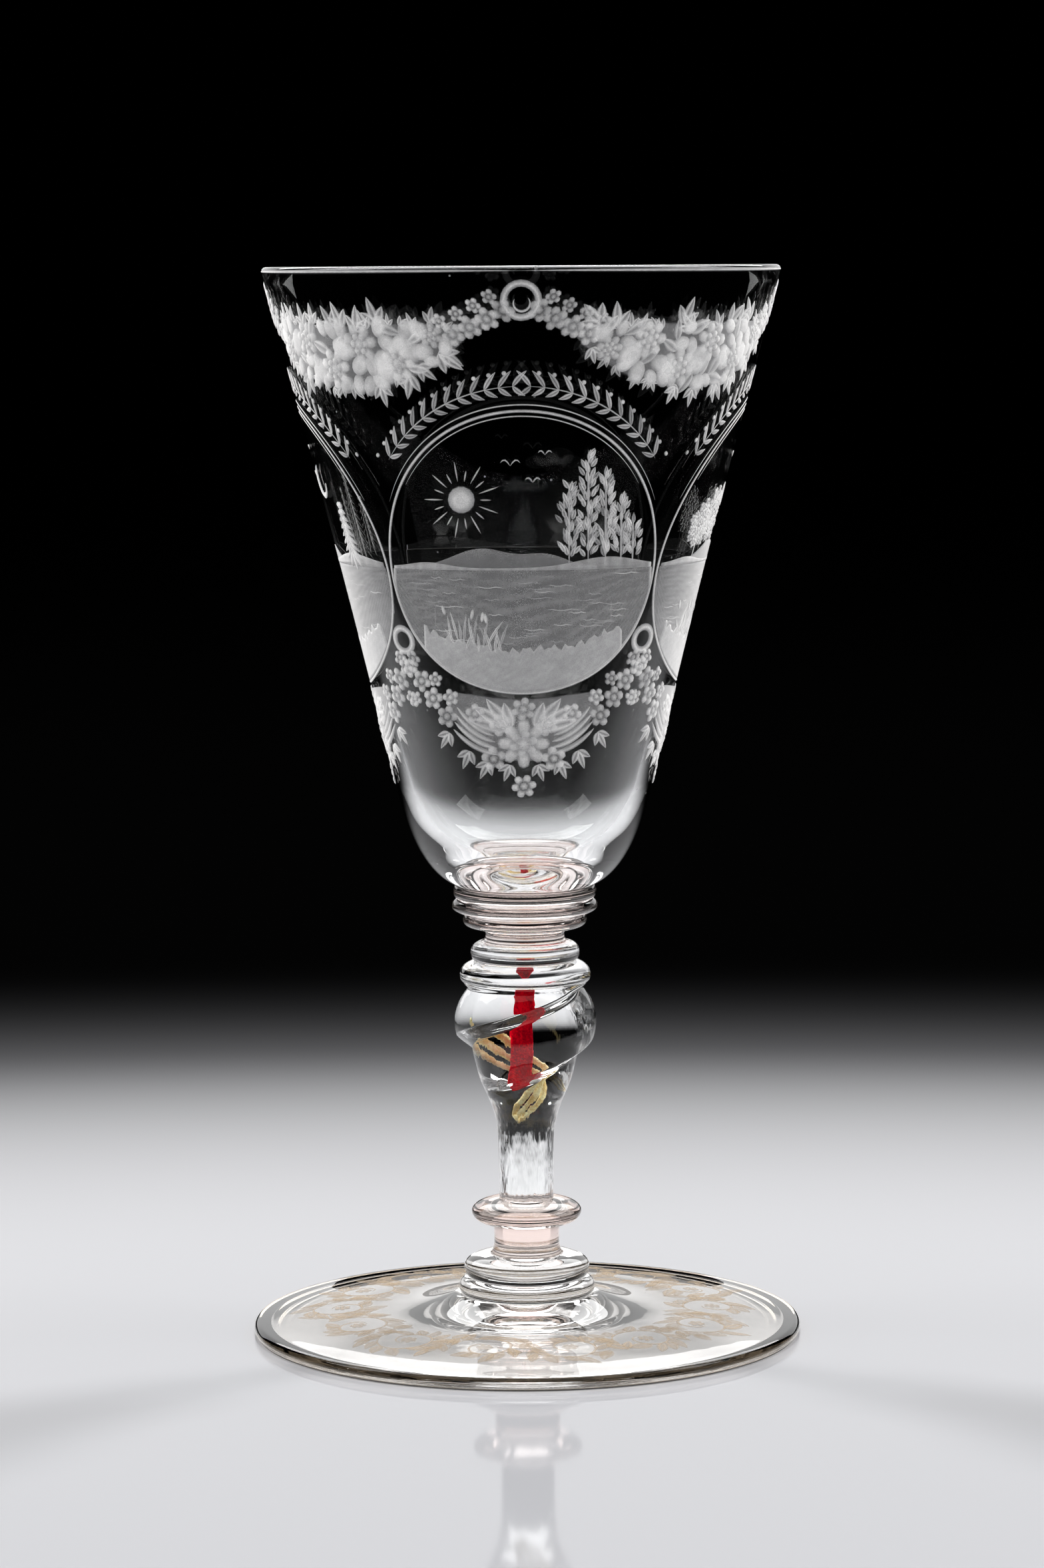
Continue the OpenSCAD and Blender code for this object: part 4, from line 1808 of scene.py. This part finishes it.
@dataclass
class Medallions:
    """Round frames with a small landscape of each season, and a leafy arch above each.

    Attributes:
        bowl: The bowl that they are cut on.
        middle_z: Height of their middles.
        radius: Radius of the frame.
        frame_w: Width of the frame's line.
        arch_r: Radius of the arch of laurel.
        shore: Height of the water's edge from the middle.
    """

    bowl: Bowl
    middle_z: float = 141.4
    radius: float = 25.1
    frame_w: float = 0.62
    arch_r: float = 29.4
    shore: float = -3.0

    def build(self) -> None:
        """Cut the frames, the arches and the landscapes."""
        frames, arches = Relief(17), Relief(19)
        scenes = Landscapes(23, self.radius, self.shore)
        for azimuth, season in zip(QUARTERS, Season):
            for cut in (frames, arches, scenes):
                cut.sheet = BowlSheet(self.bowl, azimuth, self.middle_z)
            frames.hoop(Spot(0, 0), self.radius, self.frame_w)
            frames.line(arc((0, 0), self.radius + 1.1, 20, 160, 60), 0.32)
            frames.line(arc((0, 0), self.radius - 0.9, 30, 150, 60), 0.3)
            self.arch(arches)
            scenes.water()
            scenes.landscape(season)
        frames.engraved("engraved_medallion_frames")
        arches.engraved("engraved_leaf_arches")
        scenes.engraved("engraved_landscapes")

    def arch(self, cut: Relief) -> None:
        """Cut the laurel that runs up to the top of a medallion from both sides.

        Args:
            cut: Drawing to add to.
        """
        for side in (-1, 1):
            for i in range(12):
                angle = 90 - side * (3.0 + 52 * i / 11)
                x, y = arc((0, 0), self.arch_r, angle, angle, 1)[0]
                for lean, long in ((-52, 2.6), (56, 3.6)):
                    cut.vary(0.6)
                    cut.leaf(Spot(x, y, angle + side * (90 - lean)), long, 1.0, 0.14, side * lean / 90)
                x, y = arc((0, 0), self.arch_r + 2.4, angle - side * 2.3, angle, 1)[0]
                cut.dome(Spot(x, y), (0.42, 0.42), FRUIT, 0.14)
            cut.tone = 0.8
            cut.line(arc((0, 0), self.arch_r, 90 - side * 2, 90 - side * 56, 40), 0.34)


@dataclass
class FootBorder:
    """Leafy scrolls round the foot.

    Attributes:
        foot: The foot that they are cut on.
        middle_r: Radius at the middle of the border.
        repeats: Number of scrolls, an even number.
        scroll_r: Outer radius of a scroll.
        start: Angle at which a scroll leaves the border, in degrees.
        winding: How far it winds, in degrees.
        shrink: Share of its radius that it loses on the way.
        steps: Steps along it.
        leaves: Number of leaves on it.
    """

    foot: Foot
    middle_r: float = 33.2
    repeats: int = 14
    scroll_r: float = 6.3
    start: float = 200.0
    winding: float = 470.0
    shrink: float = 0.72
    steps: int = 33
    leaves: int = 11

    def build(self) -> None:
        """Cut the border."""
        cut = Relief(29)
        for i in range(self.repeats):
            cut.sheet = FootSheet(self.foot, 360 * (i + 0.5) / self.repeats, self.middle_r)
            self.scroll(cut, 1 if i % 2 else -1)
        cut.engraved("engraved_foot_border", FOOT_FROST_PAINTED_SHADE, FOOT_INSIDE_PAINTED_SHADE)

    def scroll(self, cut: Relief, hand: int) -> None:
        """Cut one scroll with its leaves.

        Args:
            cut: Drawing to add to.
            hand: 1 or -1, the way it winds.
        """
        chance = cut.chance
        path = []
        for i in range(self.steps + 1):
            t = i / self.steps
            angle = hand * (self.start - self.winding * t)
            path.append(arc((0, 0), self.scroll_r * (1 - self.shrink * t), angle, angle, 1)[0])
        cut.tone = 0.9
        cut.line(path, 0.7, 0.14)
        for i in range(self.leaves):
            x, y = path[2 + 2 * i]
            turn = math.degrees(math.atan2(y, x)) + hand * chance.uniform(-75, -25)
            cut.vary(0.6)
            cut.leaf(Spot(x, y, turn), chance.uniform(3.4, 6.0), chance.uniform(2.0, 3.2), 0.18, hand * -0.9)
        cut.rosette(Spot(0, 0), 1.6, 6, 0.2)
        for side in (-1, 1):
            for k in range(3):
                cut.vary(0.6)
                root = Spot(side * 6.6, hand * (-3.5 + 3.4 * k), 90 * hand + side * chance.uniform(-40, 40))
                long, wide, bend = chance.uniform(3.6, 5.6), chance.uniform(1.8, 3.0), chance.uniform(-1, 1)
                cut.leaf(root, long, wide, 0.18, bend)


class LampUse(Enum):
    """Whether a lamp lights matt surfaces, shows on faces that mirror it, and shows through the glass."""

    ALL = (True, True, True)
    MATT = (True, False, False)
    GLASS = (False, True, True)
    MIRROR = (False, True, False)


@dataclass(frozen=True)
class Studio:
    """Camera, lamps, floor and backdrop, all in metres.

    Attributes:
        eye_height: Height of the camera.
        eye_distance: Its distance from the goblet's axis.
        eye_side: How far it stands to the right.
        tilt: How far it looks down, in degrees.
        roll: How far the picture leans, in degrees.
        lens: Focal length in millimetres.
        film: Width of the film in millimetres.
        floor_half: Half the floor's width.
        floor_painted_pool: Its colour near the goblet, a painted pool of light.
        floor_painted_light_in_glass: The same, painted brighter where it shows in the glass: painted light.
        floor_painted_dark: Its colour far away, painted dark where the pool of light ends.
        floor_roughness: Its roughness.
        painted_pool_oval: Squeeze and middle of the oval of the painted pool of light.
        pale_to: Distance at which it starts to darken.
        dark_from: Distance from which it is dark.
        fade_power: How far the dark end of that fade is drawn out.
        gloss: Strength of its reflections near the goblet.
        gloss_to: Share of the fade at which they end.
        glass_painted_dark_oval: Squeeze and middle of the oval beyond which the floor is painted dark where
            it shows in the glass: painted shade.
        glass_painted_dark_r: Distances between which it goes dark there.
        sky: Colour of the even light on matt surfaces.
        sky_power: Its strength.
    """

    eye_height: float = 0.190
    eye_distance: float = 0.8493
    eye_side: float = 0.0002
    tilt: float = 6.15
    roll: float = 0.35
    lens: float = 110.4
    film: float = 36.0
    floor_half: float = 4.0
    floor_painted_pool: Colour = (0.302, 0.302, 0.315)
    floor_painted_light_in_glass: Colour = (0.45, 0.45, 0.46)
    floor_painted_dark: Colour = (0.0004, 0.0004, 0.0004)
    floor_roughness: float = 0.06
    painted_pool_oval: tuple[float, float] = (0.7, -0.15)
    pale_to: float = 0.18
    dark_from: float = 0.67
    fade_power: float = 2.0
    gloss: float = 0.065
    gloss_to: float = 0.9
    glass_painted_dark_oval: tuple[float, float] = (1.12, 0.25)
    glass_painted_dark_r: tuple[float, float] = (0.36, 0.42)
    sky: Colour = (0.9, 0.95, 1.0)
    sky_power: float = 0.1

    def build(self) -> None:
        """Set up the whole studio."""
        self.camera()
        self.floor()
        self.world()
        self.pair("box", (0.75, 0.05, 0.76), (0, 0, 0.1), (0.4, 0.4), 1.2)
        self.lamp("top_box", (0.0, 0.0, 1.3), (0, 0, 0), (2.2, 2.2), 7.4)
        self.lamp("high_back_box", (0.0, 1.6, 1.5), (0, 0, 0.1), (2.6, 1.2), 38.0, LampUse.GLASS)
        self.pair("flood", (1.05, -0.13, 0.42), (0, 0, 0.12), (0.5, 0.5), 5.8, LampUse.MATT)
        self.pair("back_flood", (1.1, 0.88, 1.07), (0, 0, 0.05), (0.24, 0.24), 34.0, LampUse.MATT)
        self.lamp("front_flood", (0.0, -0.9, 0.4), (0, 0, 0.1), (0.4, 0.4), 2.9, LampUse.MATT)
        self.lamp("back_panel", (0.0, 3.50, 1.6), (0, 0, 1.6), (5.0, 2.6), 45.0, LampUse.MIRROR)

    def camera(self) -> None:
        """Set the camera where the photograph was taken from."""
        data = bpy.data.cameras.new("camera")
        data.lens = self.lens
        data.sensor_width = self.film
        made = hang("camera", data)
        made.location = (self.eye_side, -self.eye_distance, self.eye_height)
        made.rotation_mode = "ZXY"
        made.rotation_euler = (math.radians(90 - self.tilt), math.radians(self.roll), 0.0)
        bpy.context.scene.camera = made

    def floor(self) -> None:
        """Lay the floor, with a painted pool of light round the goblet that falls away to painted black
        beyond it, and painted brighter where it shows in the glass.
        """
        half = self.floor_half
        mesh = bpy.data.meshes.new("floor")
        mesh.from_pydata([(-half, -half, 0), (half, -half, 0), (half, half, 0), (-half, half, 0)], [],
                         [(0, 1, 2, 3)])
        made = hang("floor", mesh)
        material = bpy.data.materials.new("floor_sweep")
        material.use_nodes = True
        sketch = Sketch(material.node_tree)
        # Painted pool of light: the colour is pale near the goblet and fades to painted black with distance.
        away = self.oval(sketch, *self.painted_pool_oval)
        lit = sketch.spread(away, self.pale_to, self.dark_from, 1.0, 0.0, "SMOOTHERSTEP")
        fade = sketch.maths("SUBTRACT", 1.0, sketch.maths("POWER", lit, self.fade_power))
        # Where the floor shows in the glass it is painted brighter near the goblet, painted light, and
        # painted dark beyond a nearer oval, painted shade.
        in_glass = sketch.add("LightPath").outputs["Is Glossy Ray"]
        beyond = sketch.spread(self.oval(sketch, *self.glass_painted_dark_oval), *self.glass_painted_dark_r, 0.0, 1.0)
        fade = sketch.maths("MAXIMUM", fade, sketch.maths("MULTIPLY", beyond, in_glass))
        pale = sketch.blend(in_glass, (*self.floor_painted_pool, 1.0), (*self.floor_painted_light_in_glass, 1.0))
        colour = sketch.blend(fade, pale, (*self.floor_painted_dark, 1.0))
        gloss = sketch.spread(fade, 0.0, self.gloss_to, self.gloss, 0.0, "SMOOTHERSTEP")
        shader = sketch.add("BsdfPrincipled", {
            "Base Color": colour, "Roughness": self.floor_roughness, "Specular IOR Level": gloss})
        output = sketch.add("OutputMaterial")
        sketch.feed(output.inputs["Surface"], shader.outputs[0])
        mesh.materials.append(material)

    @staticmethod
    def oval(sketch: Sketch, squeeze: float, middle: float) -> Socket:
        """Distance from a place on the floor, longer or shorter to the sides.

        Args:
            sketch: Tree to lay the nodes in.
            squeeze: What the distance to the side is multiplied by.
            middle: How far behind the goblet's axis the place lies.

        Returns:
            The distance's socket.
        """
        place = sketch.add("NewGeometry").outputs["Position"]
        drawn = sketch.add("VectorMath", {0: place, 1: (squeeze, 1.0, 1.0)}, operation="MULTIPLY").outputs[0]
        ends = {0: drawn, 1: (0.0, middle, 0.0)}
        return sketch.add("VectorMath", ends, operation="DISTANCE").outputs["Value"]

    def world(self) -> None:
        """Hang a black backdrop for the eye and a dim, even light for matt surfaces."""
        world = bpy.data.worlds.new("studio")
        world.use_nodes = True
        sketch = Sketch(world.node_tree)
        ray = sketch.add("LightPath").outputs
        seen = sketch.maths("MAXIMUM", ray["Is Camera Ray"], ray["Is Glossy Ray"])
        seen = sketch.maths("MAXIMUM", seen, ray["Is Transmission Ray"])
        soft = sketch.add("Background", {"Color": (*self.sky, 1.0), "Strength": self.sky_power}).outputs[0]
        black = sketch.add("Background", {"Color": (0.0, 0.0, 0.0, 1.0), "Strength": 1.0}).outputs[0]
        mixed = sketch.add("MixShader", {0: seen, 1: soft, 2: black}).outputs[0]
        sketch.feed(sketch.add("OutputWorld").inputs["Surface"], mixed)
        bpy.context.scene.world = world

    def pair(self, name: str, place: Sequence[float], *rest: Any) -> None:
        """Hang a lamp on the left and its mirror image on the right."""
        self.lamp("left_" + name, (-place[0], *place[1:]), *rest)
        self.lamp("right_" + name, place, *rest)

    def lamp(self, name: str, place: Sequence[float], target: Sequence[float], size: tuple[float, float],
             power: float, use: LampUse = LampUse.ALL) -> None:
        """Hang a soft box.

        Args:
            name: Name of the lamp.
            place: Where it hangs.
            target: What it points at.
            size: Its width and height.
            power: Its power in watts.
            use: What it shows on.
        """
        data = bpy.data.lights.new(name, "AREA")
        data.shape = "RECTANGLE"
        data.size, data.size_y = size
        data.energy = power
        made = hang(name, data)
        made.location = place
        made.rotation_euler = (Vector(target) - Vector(place)).to_track_quat("-Z", "Y").to_euler()
        made.visible_camera = False
        made.visible_diffuse, made.visible_glossy, made.visible_transmission = use.value


def set_light_paths() -> None:
    """Let light pass through all the layers of glass, and view colours as they are written."""
    scene = bpy.context.scene
    scene.view_settings.view_transform = "Standard"
    scene.cycles.max_bounces = 24
    scene.cycles.transmission_bounces = 24
    scene.cycles.glossy_bounces = 8
    scene.cycles.transparent_max_bounces = 48
    scene.cycles.caustics_reflective = False
    scene.cycles.caustics_refractive = False


def stem_rings() -> list[Ring]:
    """The rings, discs and necks of the stem, from the foot up."""
    clear, rose = (CLEAR, "clear_glass"), (ROSE, "rose_glass")
    return [
        Ring("base_collar", 11.592, 10.2, *clear),
        Ring("base_knob", 10.2, 6.7, *clear),
        Ring("lower_neck", 6.7, 6.0, *rose, waist_r=5.85),
        Ring("lower_disc", 6.0, 4.85, *rose),
        Ring("shoulder_ring", 10.9, 8.8, *clear, widest_at=0.3),
        Ring("neck_disc", 8.8, 8.1, *clear, widest_at=0.45),
        Ring("upper_neck", 8.1, 9.2, *rose, waist_r=7.0),
        Ring("bowl_ring_lower", 9.2, 10.4, *rose),
        Ring("bowl_ring_middle", 10.4, 11.8, *rose),
        Ring("bowl_ring_upper", 11.8, 12.2, *rose),
    ]


def main() -> None:
    """Build the goblet's glass, threads and engraving, and the studio round it."""
    logging.basicConfig(level=logging.INFO, format="%(message)s")
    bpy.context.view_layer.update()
    set_light_paths()
    foot, bowl = Foot(), Bowl()
    foot.build()
    for ring in stem_rings():
        ring.build()
    Stem().build()
    Baluster().build()
    Threads().build()
    bowl.build()
    for ornament in (UpperFestoons(bowl), LowerFestoons(bowl), Medallions(bowl), FootBorder(foot)):
        ornament.build()
    Studio().build()


if __name__ == "__main__":
    main()
